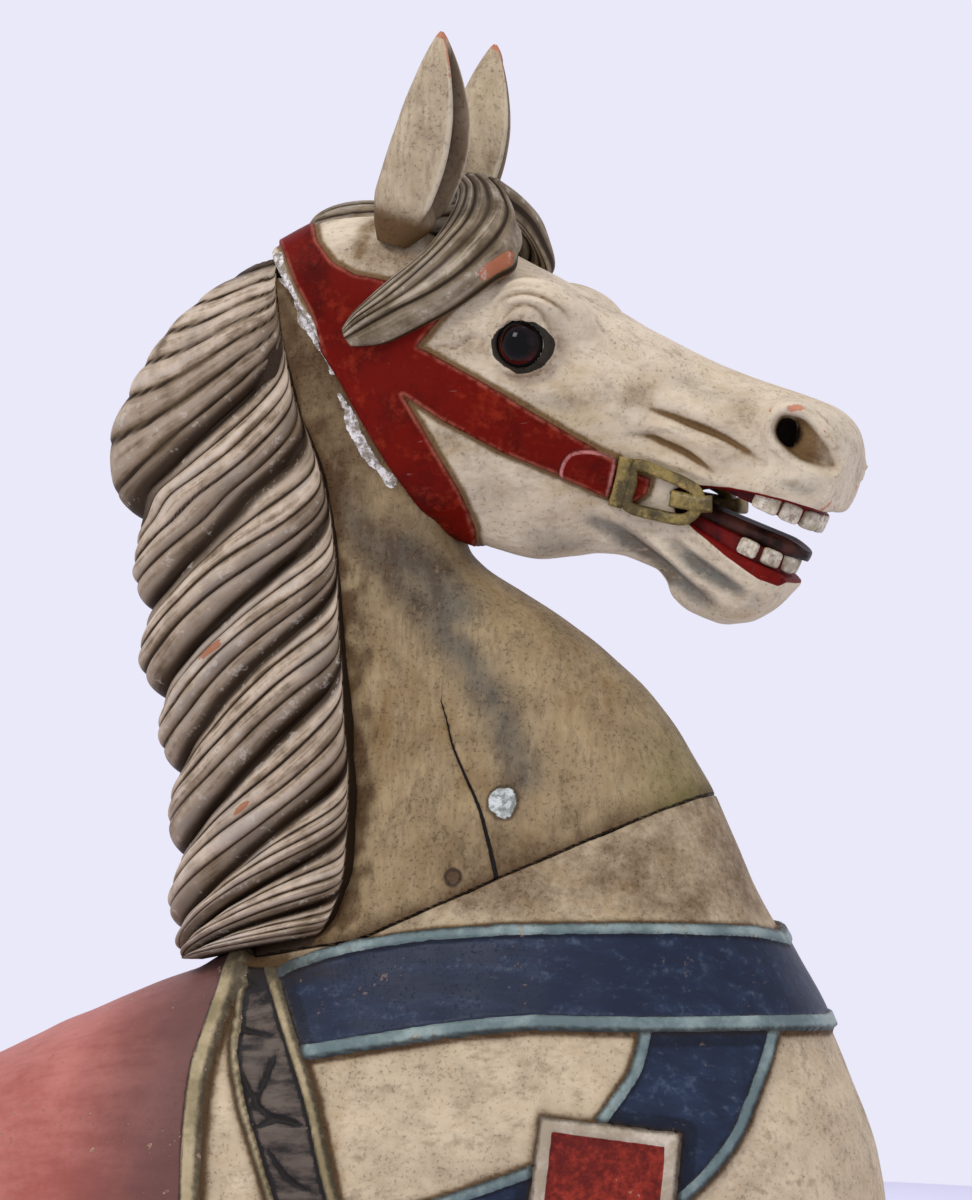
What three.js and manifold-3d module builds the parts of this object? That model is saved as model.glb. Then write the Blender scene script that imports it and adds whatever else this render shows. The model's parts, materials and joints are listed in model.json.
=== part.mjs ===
// Bust of a carved and painted carousel horse: breast block, neck block with its mane, head block,
// two let-in ears and two glass eyes. Millimetres, +Z up. The horse faces +X, its right side is -Y,
// and the origin is the middle of the flat underside.

import * as THREE from "three";
import { ParametricGeometry } from "three/addons/geometries/ParametricGeometry.js";
import { mergeVertices } from "three/addons/utils/BufferGeometryUtils.js";
import Module from "manifold-3d";

const wasm = await Module();
wasm.setup();

// Driving dimensions.
const REAR = -309; // the flat cut behind the withers
const GAP = 0.3; // the open glue line between two blocks
const DRAWING_YAW = THREE.MathUtils.degToRad(16); // carving is drawn on a plane turned this far from the side
const HEAD_ORIGIN = new THREE.Vector3(0, 0, 557.3);
const HEAD_TILT = THREE.MathUtils.degToRad(25); // the head's axis points this far below the horizon
const REACH = 420; // longer than anything that a cutter goes through
const SLIVER = 0.2; // the joins leave slivers, and those thinner than this are merged
const FACET = 0.5; // the carved skins are kept to this before a block is cut to its neighbours

// ---------------------------------------------------------------------------------------------
// Shape tools
// ---------------------------------------------------------------------------------------------

// A smooth function through a few [station, size] pairs, with no overshoot between them.
function profile(knots) {
  const slope = knots.slice(1).map(([x, y], i) => (y - knots[i][1]) / (x - knots[i][0]));
  const tangent = knots.map((_, i) => {
    if (i === 0) return slope[0];
    if (i === knots.length - 1) return slope[i - 1];
    const [before, after] = [slope[i - 1], slope[i]];
    return before * after <= 0 ? 0 : (2 * before * after) / (before + after);
  });
  return (x) => {
    const last = knots.length - 2;
    const found = knots.findIndex(([next], i) => i > 0 && x <= next) - 1;
    const i = found < 0 ? (x < knots[0][0] ? 0 : last) : found;
    const [x0, y0] = knots[i];
    const [x1, y1] = knots[i + 1];
    const t = THREE.MathUtils.clamp((x - x0) / (x1 - x0), 0, 1);
    const start = (1 + 2 * t) * (1 - t) ** 2 * y0 + t * (1 - t) ** 2 * tangent[i] * (x1 - x0);
    const end = t * t * (3 - 2 * t) * y1 + t * t * (t - 1) * tangent[i + 1] * (x1 - x0);
    return start + end;
  };
}

// A closed geometry as a solid, whichever way round its faces are.
function solid(geometry) {
  const bare = geometry.clone();
  bare.deleteAttribute("normal");
  bare.deleteAttribute("uv");
  const merged = mergeVertices(bare, 1e-3);
  const index = Array.from(merged.index.array);
  const corners = [];
  for (let i = 0; i < index.length; i += 3) {
    const [a, b, c] = index.slice(i, i + 3);
    if (a !== b && b !== c && c !== a) corners.push(a, b, c);
  }
  const vertProperties = new Float32Array(merged.attributes.position.array);
  const build = (list) =>
    new wasm.Manifold(new wasm.Mesh({ numProp: 3, vertProperties, triVerts: Uint32Array.from(list) }));
  const made = build(corners);
  return made.volume() > 0 ? made : build(corners.reverse());
}

// The same solid with its faces joined where that moves the surface less than FACET.
const eased = (part) => part.asOriginal().simplify(FACET);

// A closed body carried along stations from start to end. ring(station, angle, target) sets a point of
// its skin, and middle(station, target) the point that closes an end face.
function loft({ ring, middle, start, end, around, along }) {
  const place = (u, v, target) => {
    const row = v * (along + 2) - 1;
    const station = THREE.MathUtils.lerp(start, end, THREE.MathUtils.clamp(row / along, 0, 1));
    const closing = row < -0.5 || row > along + 0.5;
    if (closing) middle(station, target);
    else ring(station, 2 * Math.PI * (u % 1), target);
  };
  return solid(new ParametricGeometry(place, around, along + 2));
}

// The cosine or sine of a rounded box's section: power 2 is an ellipse, and more is squarer.
const squared = (wave, power) => Math.sign(wave) * Math.abs(wave) ** (2 / power);

function box(lowX, highX, lowY, highY, lowZ, highZ) {
  const geometry = new THREE.BoxGeometry(highX - lowX, highY - lowY, highZ - lowZ);
  geometry.translate((lowX + highX) / 2, (lowY + highY) / 2, (lowZ + highZ) / 2);
  return solid(geometry);
}

const mirrored = (geometry) => geometry.clone().applyMatrix4(new THREE.Matrix4().makeScale(1, -1, 1));
const rightHalf = box(-REACH, REACH, -REACH, 0, -REACH, 2 * REACH);
const leftHalf = box(-REACH, REACH, 0, REACH, -REACH, 2 * REACH);
const shapeOf = (points) => new THREE.Shape(points.map(([x, y]) => new THREE.Vector2(x, y)));

// An outline on the drawing plane, cut straight through the right half and mirrored in the left half.
function throughBothSides(outline) {
  const geometry = new THREE.ExtrudeGeometry(shapeOf(outline), { depth: 2 * REACH, bevelEnabled: false });
  geometry.translate(0, 0, -REACH);
  const across = new THREE.Vector3(Math.cos(DRAWING_YAW), Math.sin(DRAWING_YAW), 0);
  const toViewer = new THREE.Vector3(Math.sin(DRAWING_YAW), -Math.cos(DRAWING_YAW), 0);
  geometry.applyMatrix4(new THREE.Matrix4().makeBasis(across, new THREE.Vector3(0, 0, 1), toViewer));
  return solid(geometry).intersect(rightHalf).add(solid(mirrored(geometry)).intersect(leftHalf));
}

// An outline in the horse's own side plane [x, z], cut straight through from side to side.
function throughSide(outline) {
  const geometry = new THREE.ExtrudeGeometry(shapeOf(outline), { depth: 2 * REACH, bevelEnabled: false });
  geometry.translate(0, 0, -REACH);
  geometry.rotateX(Math.PI / 2);
  return solid(geometry);
}

// The outline between two edges, each a function of the place along the band.
function band(low, high, from, to, steps, upright = false) {
  const places = Array.from({ length: steps + 1 }, (_, i) => THREE.MathUtils.lerp(from, to, i / steps));
  const outline = [...places.map((p) => [p, low(p)]), ...places.reverse().map((p) => [p, high(p)])];
  return upright ? outline.map(([along, across]) => [across, along]) : outline;
}

// ---------------------------------------------------------------------------------------------
// The breast and neck: level sections, each with its front, its back and its half width
// ---------------------------------------------------------------------------------------------

const TRUNK_POWER = 2.3;
const trunkFront = profile([
  [-20, 310], [24, 308], [57, 303], [84, 295], [110, 284], [154, 266], [190, 246], [237, 220], [270, 206],
  [300, 192], [340, 168], [367, 146], [390, 119], [410, 92], [427, 64], [444, 38], [458, 25], [471, 22],
  [490, 40], [510, 38], [560, 5], [620, -25], [660, -45],
]);
const trunkBack = profile([
  [-20, -180], [100, -180], [170, -150], [217, -110], [290, -97], [344, -97], [397, -102], [451, -108],
  [504, -118], [557, -132], [600, -140], [630, -135], [660, -118],
]);
const trunkHalfWidth = profile([
  [-20, 146], [57, 141], [110, 130], [154, 116], [190, 102], [217, 90], [250, 78], [290, 69], [344, 60],
  [397, 54], [451, 49], [504, 46], [557, 44], [620, 42], [660, 34],
]);

function trunk(grow, bottom, top, along) {
  const middleX = (z) => (trunkFront(z) + trunkBack(z)) / 2;
  return loft({
    ring: (z, angle, target) => {
      const reach = (trunkFront(z) - trunkBack(z)) / 2 + grow;
      const x = middleX(z) + reach * squared(Math.cos(angle), TRUNK_POWER);
      target.set(x, (trunkHalfWidth(z) + grow) * squared(Math.sin(angle), TRUNK_POWER), z);
    },
    middle: (z, target) => target.set(middleX(z), 0, z),
    start: bottom,
    end: top,
    around: 28,
    along,
  });
}

// ---------------------------------------------------------------------------------------------
// The barrel behind the breast: upright sections along X
// ---------------------------------------------------------------------------------------------

const BARREL_MIDDLE = -70; // the height of its axis, below the flat cut
const barrelTop = profile([[-330, 99], [-298, 114], [-229, 145], [-162, 171], [-100, 186], [0, 186], [80, 150]]);
const barrelHalfWidth = profile([[-330, 142], [-200, 150], [-60, 150], [20, 142], [80, 120]]);

function barrel(grow) {
  return loft({
    ring: (x, angle, target) => {
      const rise = barrelTop(x) - BARREL_MIDDLE + grow;
      const y = (barrelHalfWidth(x) + grow) * squared(Math.sin(angle), TRUNK_POWER);
      target.set(x, y, BARREL_MIDDLE + rise * squared(Math.cos(angle), TRUNK_POWER));
    },
    middle: (x, target) => target.set(x, 0, BARREL_MIDDLE),
    start: -330,
    end: 80,
    around: 32,
    along: 9,
  });
}

// ---------------------------------------------------------------------------------------------
// The glue lines between the three blocks
// ---------------------------------------------------------------------------------------------

const SEAM_CORNER = { x: -25, z: 200 }; // where the neck's glue line turns level under the mane
const SEAM_RISE = 0.44; // its slope towards the front
const SEAM_FALL = 0.15; // its slope towards the back
const neckSeam = (x) => SEAM_CORNER.z + (x - SEAM_CORNER.x) * (x > SEAM_CORNER.x ? SEAM_RISE : SEAM_FALL);

const POLL = { x: -100, z: 654 }; // the head's glue line runs straight from the poll
const THROAT = { x: 18, z: 470 }; // to the throat
const headSeam = (z) => POLL.x + ((POLL.z - z) * (THROAT.x - POLL.x)) / (POLL.z - THROAT.z);

const aboveNeckSeam = throughSide([
  [-REACH, neckSeam(-REACH) + GAP], [SEAM_CORNER.x, SEAM_CORNER.z + GAP], [REACH, neckSeam(REACH) + GAP],
  [REACH, 2 * REACH], [-REACH, 2 * REACH],
]);
const belowNeckSeam = throughSide([
  [REAR, 0], [REACH, 0], [REACH, neckSeam(REACH)], [SEAM_CORNER.x, SEAM_CORNER.z], [REAR, neckSeam(REAR)],
]);
const seamWedge = (shift) => [
  [headSeam(2 * REACH) + shift, 2 * REACH], [headSeam(300) + shift, 300],
];
const behindHeadSeam = throughSide([...seamWedge(-GAP), [-REACH, 300], [-REACH, 2 * REACH]])
  .add(box(-REACH, REACH, -REACH, REACH, 0, THROAT.z - 12));
const aheadOfHeadSeam = throughSide([...seamWedge(GAP), [REACH, 300], [REACH, 2 * REACH]]);

// ---------------------------------------------------------------------------------------------
// The breast block: straps, trims, saddle front and plaque, each raised from the same skin
// ---------------------------------------------------------------------------------------------

const STRAP_RISE = 3;
const TRIM_RISE = 5;
const SADDLE_RISE = 5;
const PLAQUE_RISE = 11;

const breastTop = profile([
  [-112, 171], [-87, 184], [-43, 197], [20, 205], [73, 207.5], [140, 208], [207, 206], [227, 203], [243, 198], [310, 196],
]);
const breastBottom = profile([[-112, 112], [-85, 116], [-33, 124], [20, 132], [73, 136], [140, 135], [310, 137]]);
const saddleEdge = profile([[-20, -153], [24, -153], [71, -151], [104, -147], [137, -137], [167, -125], [200, -112]]);
const girthLeft = profile([[-20, -97], [24, -109], [57, -119], [91, -129], [121, -133], [144, -130], [176, -124]]);
const girthRight = profile([[-20, -46], [24, -60], [91, -75], [131, -87], [176, -100]]);
const SWAG_LEFT = [[140, 138], [133, 111], [120, 91], [107, 74], [87, 57], [67, 47], [40, 37], [7, 26], [-30, 15], [-70, 4]];
const SWAG_RIGHT = [[232, 138], [227, 117], [218, 91], [207, 64], [190, 41], [173, 24], [150, 4], [140, -10]];
const PLAQUE = [[74, 79], [167, 67], [158, 5], [65, 15]];
const TRIM = 8;

// The strip of a given width along a polyline edge, on the side towards which it is shifted.
function edging(edge, shiftX, shiftZ) {
  return [...edge, ...edge.map(([x, z]) => [x + shiftX, z + shiftZ]).reverse()];
}

// The same outline drawn smaller towards its middle.
function inset(outline, share) {
  const middle = outline.reduce(([a, b], [x, z]) => [a + x / outline.length, b + z / outline.length], [0, 0]);
  return outline.map(([x, z]) => [middle[0] + (x - middle[0]) * share, middle[1] + (z - middle[1]) * share]);
}

function breastBlock() {
  const skin = (grow) => trunk(grow, -20, 330, 13).add(barrel(grow));
  const plain = skin(0);
  const strapSkin = skin(STRAP_RISE);
  const trimSkin = skin(TRIM_RISE);
  const breastBand = band(breastBottom, breastTop, -112, 310, 14);
  const topTrim = band((u) => breastTop(u) - TRIM, breastTop, -112, 310, 14);
  const bottomTrim = band(breastBottom, (u) => breastBottom(u) + TRIM + 2, -112, 310, 14);
  const girthBand = band(girthRight, girthLeft, -20, 176, 7, true);
  const girthTrim = band(girthRight, (z) => girthRight(z) - TRIM, -20, 176, 7, true);
  const saddleTrim = band(saddleEdge, (z) => saddleEdge(z) - 12, -20, 185, 7, true);
  const saddle = band(saddleEdge, () => -REACH, -20, 200, 7, true);
  const swag = [...SWAG_LEFT, [-70, -30], ...[...SWAG_RIGHT].reverse()];
  const onStrap = [breastBand, girthBand, swag].map(throughBothSides).reduce((a, b) => a.add(b));
  const onTrim = [topTrim, bottomTrim, girthTrim, saddleTrim, edging(SWAG_LEFT, 11, -3), edging(SWAG_RIGHT, -11, 3)]
    .map(throughBothSides)
    .reduce((a, b) => a.add(b));
  const plaqueFrame = throughBothSides(PLAQUE).subtract(throughBothSides(inset(PLAQUE, 0.72)));
  const raised = [
    plain,
    strapSkin.intersect(onStrap),
    trimSkin.intersect(onTrim),
    skin(SADDLE_RISE).intersect(throughBothSides(saddle)),
    skin(PLAQUE_RISE - 3).intersect(throughBothSides(PLAQUE)),
    skin(PLAQUE_RISE).intersect(plaqueFrame),
  ];
  return eased(raised.reduce((a, b) => a.add(b))).intersect(belowNeckSeam);
}

// ---------------------------------------------------------------------------------------------
// The mane: a thick fall of seven twisted locks behind the neck, the same on both sides
// ---------------------------------------------------------------------------------------------

const MANE_BOTTOM = 179;
const MANE_TOP = 652;
const LOCKS = 7; // full locks between the top and the bottom
const LOCK_PITCH = 54; // height of one lock at the neck
const LOCK_DEPTH = 12; // how far a lock stands out of the furrow beside it
const LOCK_PHASE = 0.35;
const STRANDS = 3; // strands in each lock
const STRAND_DEPTH = 2.6;
const MANE_POWER = 2.4; // the roundness of the mane's plan
const maneInner = profile([
  [170, -70], [204, -52], [217, -44], [250, -36], [290, -36], [344, -41], [397, -46], [451, -50], [504, -60],
  [557, -80], [610, -92], [654, -98],
]);
const maneOuter = profile([
  [170, -160], [182, -167], [217, -176], [257, -178], [304, -181], [347, -190], [387, -201], [444, -204],
  [475, -209], [500, -224], [525, -224], [567, -208], [597, -191], [620, -171], [640, -145], [654, -116],
]);
const maneHalfWidth = profile([
  [170, 92], [217, 86], [250, 78], [290, 70], [344, 62], [451, 52], [557, 46], [620, 42], [654, 26],
]);
const maneDrop = profile([[150, 78], [257, 84], [475, 126], [654, 130]]); // a lock's fall from neck to back

// How far the skin stands out at a height and a share of the way from the neck to the back.
function lockRelief(z, share) {
  const turn = (z + maneDrop(z) * Math.sqrt(share)) / LOCK_PITCH + LOCK_PHASE;
  const across = turn - Math.floor(turn);
  const lock = Math.sin(Math.PI * across) ** 0.6;
  const strand = Math.abs(Math.sin(Math.PI * STRANDS * across));
  return LOCK_DEPTH * (lock - 0.8) + STRAND_DEPTH * (strand - 0.8);
}

// The ring runs back along the right side, round the ridge and forward again along the left side, and
// closes inside the neck.
function mane() {
  const SEEN = 0.88;
  const ring = (z, angle, target) => {
    const inner = maneInner(z);
    const depth = inner - maneOuter(z);
    const width = maneHalfWidth(z);
    const turn = angle / (2 * Math.PI);
    if (turn > SEEN) {
      const y = THREE.MathUtils.lerp(1, -1, (turn - SEEN) / (1 - SEEN)) * (width - 12);
      target.set(inner + 10, y, z);
      return;
    }
    const place = 1 - Math.abs((2 * turn) / SEEN - 1);
    const share = (1 - Math.cos(Math.PI * place)) / 2;
    const out = lockRelief(z, share) + 2;
    const side = turn < SEEN / 2 ? -1 : 1;
    const across = (1 - share ** MANE_POWER) ** (1 / MANE_POWER);
    target.set(inner - (depth + out) * share, side * (width + out) * across, z);
  };
  return loft({
    ring,
    middle: (z, target) => target.set(maneInner(z) - 30, 0, z),
    start: MANE_BOTTOM - 4,
    end: MANE_TOP,
    around: 23,
    along: LOCKS * 7,
  });
}

function neckBlock() {
  return eased(trunk(0, 150, 655, 22).add(mane())).intersect(aboveNeckSeam).intersect(behindHeadSeam);
}

// ---------------------------------------------------------------------------------------------
// The head: sections across its own axis, s along it from the cheek and v square to it
// ---------------------------------------------------------------------------------------------

const HEAD_POWER = 2.5;
const NOSE = 284; // the end of the muzzle along the axis
const NOSE_ROUND = 24; // the length over which the muzzle closes
const headTop = profile([
  [-150, 30], [-135, 52], [-108, 84], [-78, 101], [-42, 110], [0, 112], [60, 110], [88, 108], [126, 105],
  [157, 104], [187, 105], [216, 108], [245, 111], [268, 106], [291, 98],
]);
const headBottom = profile([
  [-150, -10], [-60, -40], [0, -66], [40, -74], [93, -69], [111, -65], [135, -52], [150, -43], [170, -37],
  [189, -36], [199, -40], [208, -48], [223, -52], [242, -51], [258, -44], [275, -30], [291, -22],
]);
const headHalfWidth = profile([
  [-150, 38], [-120, 46], [-80, 52], [-40, 57], [0, 60], [45, 61], [90, 56], [126, 49], [160, 43], [190, 40],
  [250, 41], [291, 38],
]);
const jawShare = profile([[-150, 1], [0, 0.86], [90, 0.74], [160, 0.66], [291, 0.84]]); // width below against above

const headPoint = (s, v, y, target = new THREE.Vector3()) =>
  target.set(
    HEAD_ORIGIN.x + s * Math.cos(HEAD_TILT) + v * Math.sin(HEAD_TILT), y,
    HEAD_ORIGIN.z - s * Math.sin(HEAD_TILT) + v * Math.cos(HEAD_TILT),
  );

// The section's middle height, half height and closing share at a station.
function headSection(s) {
  const into = THREE.MathUtils.clamp((s - NOSE + NOSE_ROUND) / NOSE_ROUND, 0, 1);
  const closing = (1 - into ** 2.6) ** (1 / 2.6);
  const middle = (headTop(s) + headBottom(s)) / 2;
  return { middle, rise: (headTop(s) - headBottom(s)) / 2, closing: 0.35 + 0.65 * closing };
}

function headSkin(grow) {
  return loft({
    ring: (s, angle, target) => {
      const { middle, rise, closing } = headSection(s);
      const up = squared(Math.cos(angle), HEAD_POWER);
      const narrow = THREE.MathUtils.lerp(jawShare(s), 1, THREE.MathUtils.smoothstep(up, -1, 0.5));
      const y = (headHalfWidth(s) * closing * narrow + grow) * squared(Math.sin(angle), HEAD_POWER);
      headPoint(s + grow * (s / NOSE), middle + (rise * (0.5 + 0.5 * closing) + grow) * up, y, target);
    },
    middle: (s, target) => headPoint(s + grow * (s / NOSE), headSection(s).middle, 0, target),
    start: -165,
    end: NOSE,
    around: 22,
    along: 24,
  });
}

// A solid cut straight through the head, drawn by its [s, v] outline.
const throughHead = (outline) =>
  throughSide(outline.map(([s, v]) => headPoint(s, v, 0)).map((point) => [point.x, point.z]));

const MOUTH = [
  [188, 16], [196, 26], [223, 36], [255, 43], [276, 46], [320, 48], [320, -90], [256, -52], [264, -40], [272, -26],
  [276, -13], [277, -2], [252, 0], [221, 3], [196, 8],
];
const HEADSTALL = [
  [-125, 640], [-110, 668], [-90, 700], [-70, 700], [-76, 668], [-72, 654], [-57, 643], [-25, 635], [10, 655],
  [45, 676], [80, 698], [98, 668], [50, 645], [19, 622], [-8, 593], [33, 571], [73, 547], [113, 524], [125, 519],
  [119, 493], [87, 507], [47, 523], [7, 544], [-17, 560], [0, 531], [20, 497], [30, 477], [33, 448], [-20, 448],
];
const STRAP_TAB = [[125, 521], [98, 526], [89, 519], [86, 510], [90, 501], [118, 491]];
const BUCKLE = [[117, 489], [131, 521], [153, 514], [180, 501], [189, 491], [181, 479], [161, 473], [140, 481]];
const BUCKLE_HOLE = [[132, 494], [138, 510], [158, 503], [166, 494], [155, 483], [144, 487]];
const NOSTRIL = [
  [230, 541], [235, 549], [243, 552], [252, 547], [259, 536], [270, 521], [272, 514], [262, 516], [247, 521], [235, 527],
];
const NOSTRIL_FLOOR = 24; // half the thickness of wood left between the nostrils
const CREASES = [
  [[138, 555], [152, 553], [180, 540], [212, 513], [205, 512], [176, 531], [150, 547]],
  [[134, 532], [150, 533], [175, 520], [196, 505], [190, 503], [170, 512], [150, 525], [138, 527]],
  [[102, 479], [120, 477], [150, 455], [180, 424], [192, 414], [182, 415], [158, 432], [130, 460]],
  [[160, 466], [170, 463], [190, 446], [210, 426], [204, 425], [180, 443]],
];

// A row of teeth on its gum: a plate rounded in plan like the jaw, with furrows between the teeth.
function toothRow(low, high, back, front, halfWidth, furrows = []) {
  const plate = new THREE.Shape();
  plate.moveTo(back, -halfWidth);
  plate.lineTo(front - halfWidth, -halfWidth);
  plate.absarc(front - halfWidth, 0, halfWidth, -Math.PI / 2, Math.PI / 2);
  plate.lineTo(back, halfWidth);
  const geometry = new THREE.ExtrudeGeometry(plate, { depth: high - low, bevelEnabled: false, curveSegments: 8 });
  geometry.translate(0, 0, low);
  const basis = new THREE.Matrix4().makeRotationY(HEAD_TILT);
  basis.setPosition(HEAD_ORIGIN);
  geometry.applyMatrix4(basis);
  let row = solid(geometry);
  for (const s of furrows) {
    for (const side of [-1, 1]) {
      const furrow = new THREE.BoxGeometry(3, 5, high - low + 4);
      furrow.translate(s, side * halfWidth, (low + high) / 2);
      furrow.applyMatrix4(basis);
      row = row.subtract(solid(furrow));
    }
  }
  return row;
}

// The forelock rises between the ears and parts in two, and each half sweeps down below its ear. Its
// middle line, and its half width and thickness along it.
const FORELOCK = {
  line: [[0, 4, 682], [33, 14, 686], [46, 34, 670], [36, 50, 648], [12, 57, 633], [-12, 60, 614], [-41, 58, 601]],
  across: new THREE.Vector3(0.75, -0.1, -0.6),
  halfWidth: profile([[0, 13], [0.18, 17], [0.36, 28], [0.52, 25], [0.68, 18], [0.85, 15], [1, 3]]),
  thickness: profile([[0, 10], [0.36, 13], [0.7, 9], [1, 3]]),
  strands: 3,
};

function forelock(side) {
  const line = new THREE.CatmullRomCurve3(FORELOCK.line.map(([x, y, z]) => new THREE.Vector3(x, side * y, z)));
  const across = FORELOCK.across.clone().setY(side * FORELOCK.across.y);
  const tangent = new THREE.Vector3();
  const out = new THREE.Vector3();
  const flat = new THREE.Vector3();
  return loft({
    ring: (t, angle, target) => {
      line.getTangent(t, tangent);
      out.crossVectors(tangent, across).normalize();
      flat.crossVectors(out, tangent).normalize();
      const furrow = 1 - 0.2 * Math.abs(Math.sin(FORELOCK.strands * angle));
      line.getPoint(t, target);
      target.addScaledVector(flat, FORELOCK.halfWidth(t) * Math.cos(angle));
      target.addScaledVector(out, FORELOCK.thickness(t) * furrow * Math.sin(angle));
    },
    middle: (t, target) => line.getPoint(t, target),
    start: 0,
    end: 1,
    around: 14,
    along: 12,
  });
}

// ---------------------------------------------------------------------------------------------
// The ears, each a hollowed leaf let into the head, and the glass eyes
// ---------------------------------------------------------------------------------------------

const EAR = {
  base: new THREE.Vector3(-13, 46, 662),
  tip: new THREE.Vector3(27, 64, 797),
  breadth: 25.5, // half its size from back to front where it is widest
  thickness: 18, // half its size from side to side there
  bow: 9, // how far it bows forward along its length
  hollow: 0.6,
};
const earSize = profile([[0, 0.4], [0.1, 0.7], [0.24, 0.95], [0.4, 1], [0.6, 0.86], [0.8, 0.54], [0.97, 0.16], [1, 0.05]]);

function ear(side, grow) {
  const base = EAR.base.clone().setY(side * EAR.base.y);
  const tip = EAR.tip.clone().setY(side * EAR.tip.y);
  const axis = new THREE.Vector3().subVectors(tip, base).normalize();
  const forward = new THREE.Vector3(1, 0, 0).addScaledVector(axis, -axis.x).normalize();
  const sideways = new THREE.Vector3().crossVectors(axis, forward).multiplyScalar(side);
  const opening = 0.6; // the hollow faces forward and a little outward
  return loft({
    ring: (t, angle, target) => {
      const size = earSize(t);
      const facing = Math.max(0, Math.cos(angle - opening)) ** 3;
      const depth = EAR.hollow * facing * THREE.MathUtils.smoothstep(t, 0.1, 0.3) * (1 - 0.7 * t);
      target.lerpVectors(base, tip, t).addScaledVector(forward, EAR.bow * Math.sin(Math.PI * t));
      target.addScaledVector(forward, (EAR.breadth * size + grow) * (1 - depth) * Math.cos(angle));
      target.addScaledVector(sideways, (EAR.thickness * size + grow) * (1 - depth) * Math.sin(angle));
    },
    middle: (t, target) => target.lerpVectors(base, tip, t),
    start: 0,
    end: 1,
    around: 16,
    along: 10,
  });
}

const EYE = { along: 57, across: 65, side: 52, radius: 17 };

function eyeball(side, radius) {
  const ball = new THREE.SphereGeometry(radius, 14, 9);
  ball.applyMatrix4(new THREE.Matrix4().setPosition(headPoint(EYE.along, EYE.across, side * EYE.side)));
  return solid(ball);
}

// ---------------------------------------------------------------------------------------------
// The head block
// ---------------------------------------------------------------------------------------------

function headBlock() {
  const plain = headSkin(0);
  const brow = (side) => {
    const lid = new THREE.SphereGeometry(1, 16, 10);
    lid.scale(36, 15, 23);
    lid.rotateY(0.35);
    lid.applyMatrix4(new THREE.Matrix4().setPosition(headPoint(EYE.along + 1, EYE.across + 19, side * 48)));
    return solid(lid);
  };
  const muzzle = (side) => {
    const flare = new THREE.SphereGeometry(1, 16, 10);
    flare.scale(30, 14, 25);
    flare.rotateY(0.5);
    flare.applyMatrix4(new THREE.Matrix4().setPosition(headPoint(250, 84, side * 31)));
    return solid(flare);
  };
  const skin = [plain, brow(-1), brow(1), muzzle(-1), muzzle(1)].reduce((a, b) => a.add(b));
  const strap = throughBothSides(HEADSTALL).intersect(aheadOfHeadSeam);
  const buckle = throughBothSides(BUCKLE).subtract(throughBothSides(BUCKLE_HOLE));
  const creaseFloor = headSkin(-3);
  const creases = CREASES.map(throughBothSides).reduce((a, b) => a.add(b)).subtract(creaseFloor);
  const septum = box(-REACH, REACH, -NOSTRIL_FLOOR, NOSTRIL_FLOOR, 0, 2 * REACH);
  const nostrils = throughBothSides(NOSTRIL).subtract(septum);
  let head = skin.subtract(creases).subtract(nostrils).subtract(throughHead(MOUTH));
  head = head.add(headSkin(3.5).intersect(strap));
  head = head.add(headSkin(5.5).intersect(throughBothSides(STRAP_TAB)));
  head = head.add(headSkin(9).intersect(buckle));
  head = head.add(toothRow(35, 50, 218, 277, 33, [232, 247])).add(toothRow(-4, 12, 212, 272, 29, [229, 245]));
  head = head.add(toothRow(11, 25, 186, 270, 17));
  head = eased(head.add(forelock(-1)).add(forelock(1))).intersect(aheadOfHeadSeam);
  for (const side of [-1, 1]) {
    head = head.subtract(ear(side, GAP)).subtract(eyeball(side, EYE.radius + GAP));
  }
  return head;
}

// ---------------------------------------------------------------------------------------------
// The finished bust
// ---------------------------------------------------------------------------------------------

const ivoryPaint = { color: 0xb9ab8b, roughness: 0.6, metalness: 0 };
const finishes = {
  breast: ivoryPaint,
  neck_and_mane: { color: 0xa39a86, roughness: 0.65, metalness: 0 },
  head: { color: 0xc9c1a8, roughness: 0.55, metalness: 0 },
  ear: { color: 0xb5ab93, roughness: 0.6, metalness: 0 },
  eye: { color: 0x120a08, roughness: 0.06, metalness: 0 },
};

function meshOf(name, part, finish) {
  const { numProp, numVert, vertProperties, triVerts } = part.asOriginal().simplify(SLIVER).getMesh();
  const position = new Float32Array(numVert * 3);
  for (let i = 0; i < numVert; i++) position.set(vertProperties.subarray(i * numProp, i * numProp + 3), 3 * i);
  const geometry = new THREE.BufferGeometry();
  geometry.setAttribute("position", new THREE.BufferAttribute(position, 3));
  geometry.setIndex(new THREE.BufferAttribute(triVerts, 1));
  geometry.computeVertexNormals();
  const mesh = new THREE.Mesh(geometry, new THREE.MeshStandardMaterial(finish));
  mesh.name = name;
  return mesh;
}

const bust = new THREE.Group();
bust.add(meshOf("breast", breastBlock(), finishes.breast));
bust.add(meshOf("neck_and_mane", neckBlock(), finishes.neck_and_mane));
bust.add(meshOf("head", headBlock(), finishes.head));
for (const [name, side] of [["right", -1], ["left", 1]]) {
  bust.add(meshOf(`${name}_ear`, ear(side, 0), finishes.ear));
  bust.add(meshOf(`${name}_eye`, eyeball(side, EYE.radius), finishes.eye));
}

export default bust;
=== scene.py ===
"""Dresses the bust of a carved and painted carousel horse: its wood, mane, bridle, harness, eyes and teeth.

Sizes are millimetres in the part's own frame (+X the way the horse faces, +Z up, -Y its right side), which
become metres when a mesh is made. The carving is symmetric: it is worked out for the right side and mirrored.
"""

import json
import logging
import math
from dataclasses import dataclass, field
from enum import Enum
from typing import Callable, Sequence, Union

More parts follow.
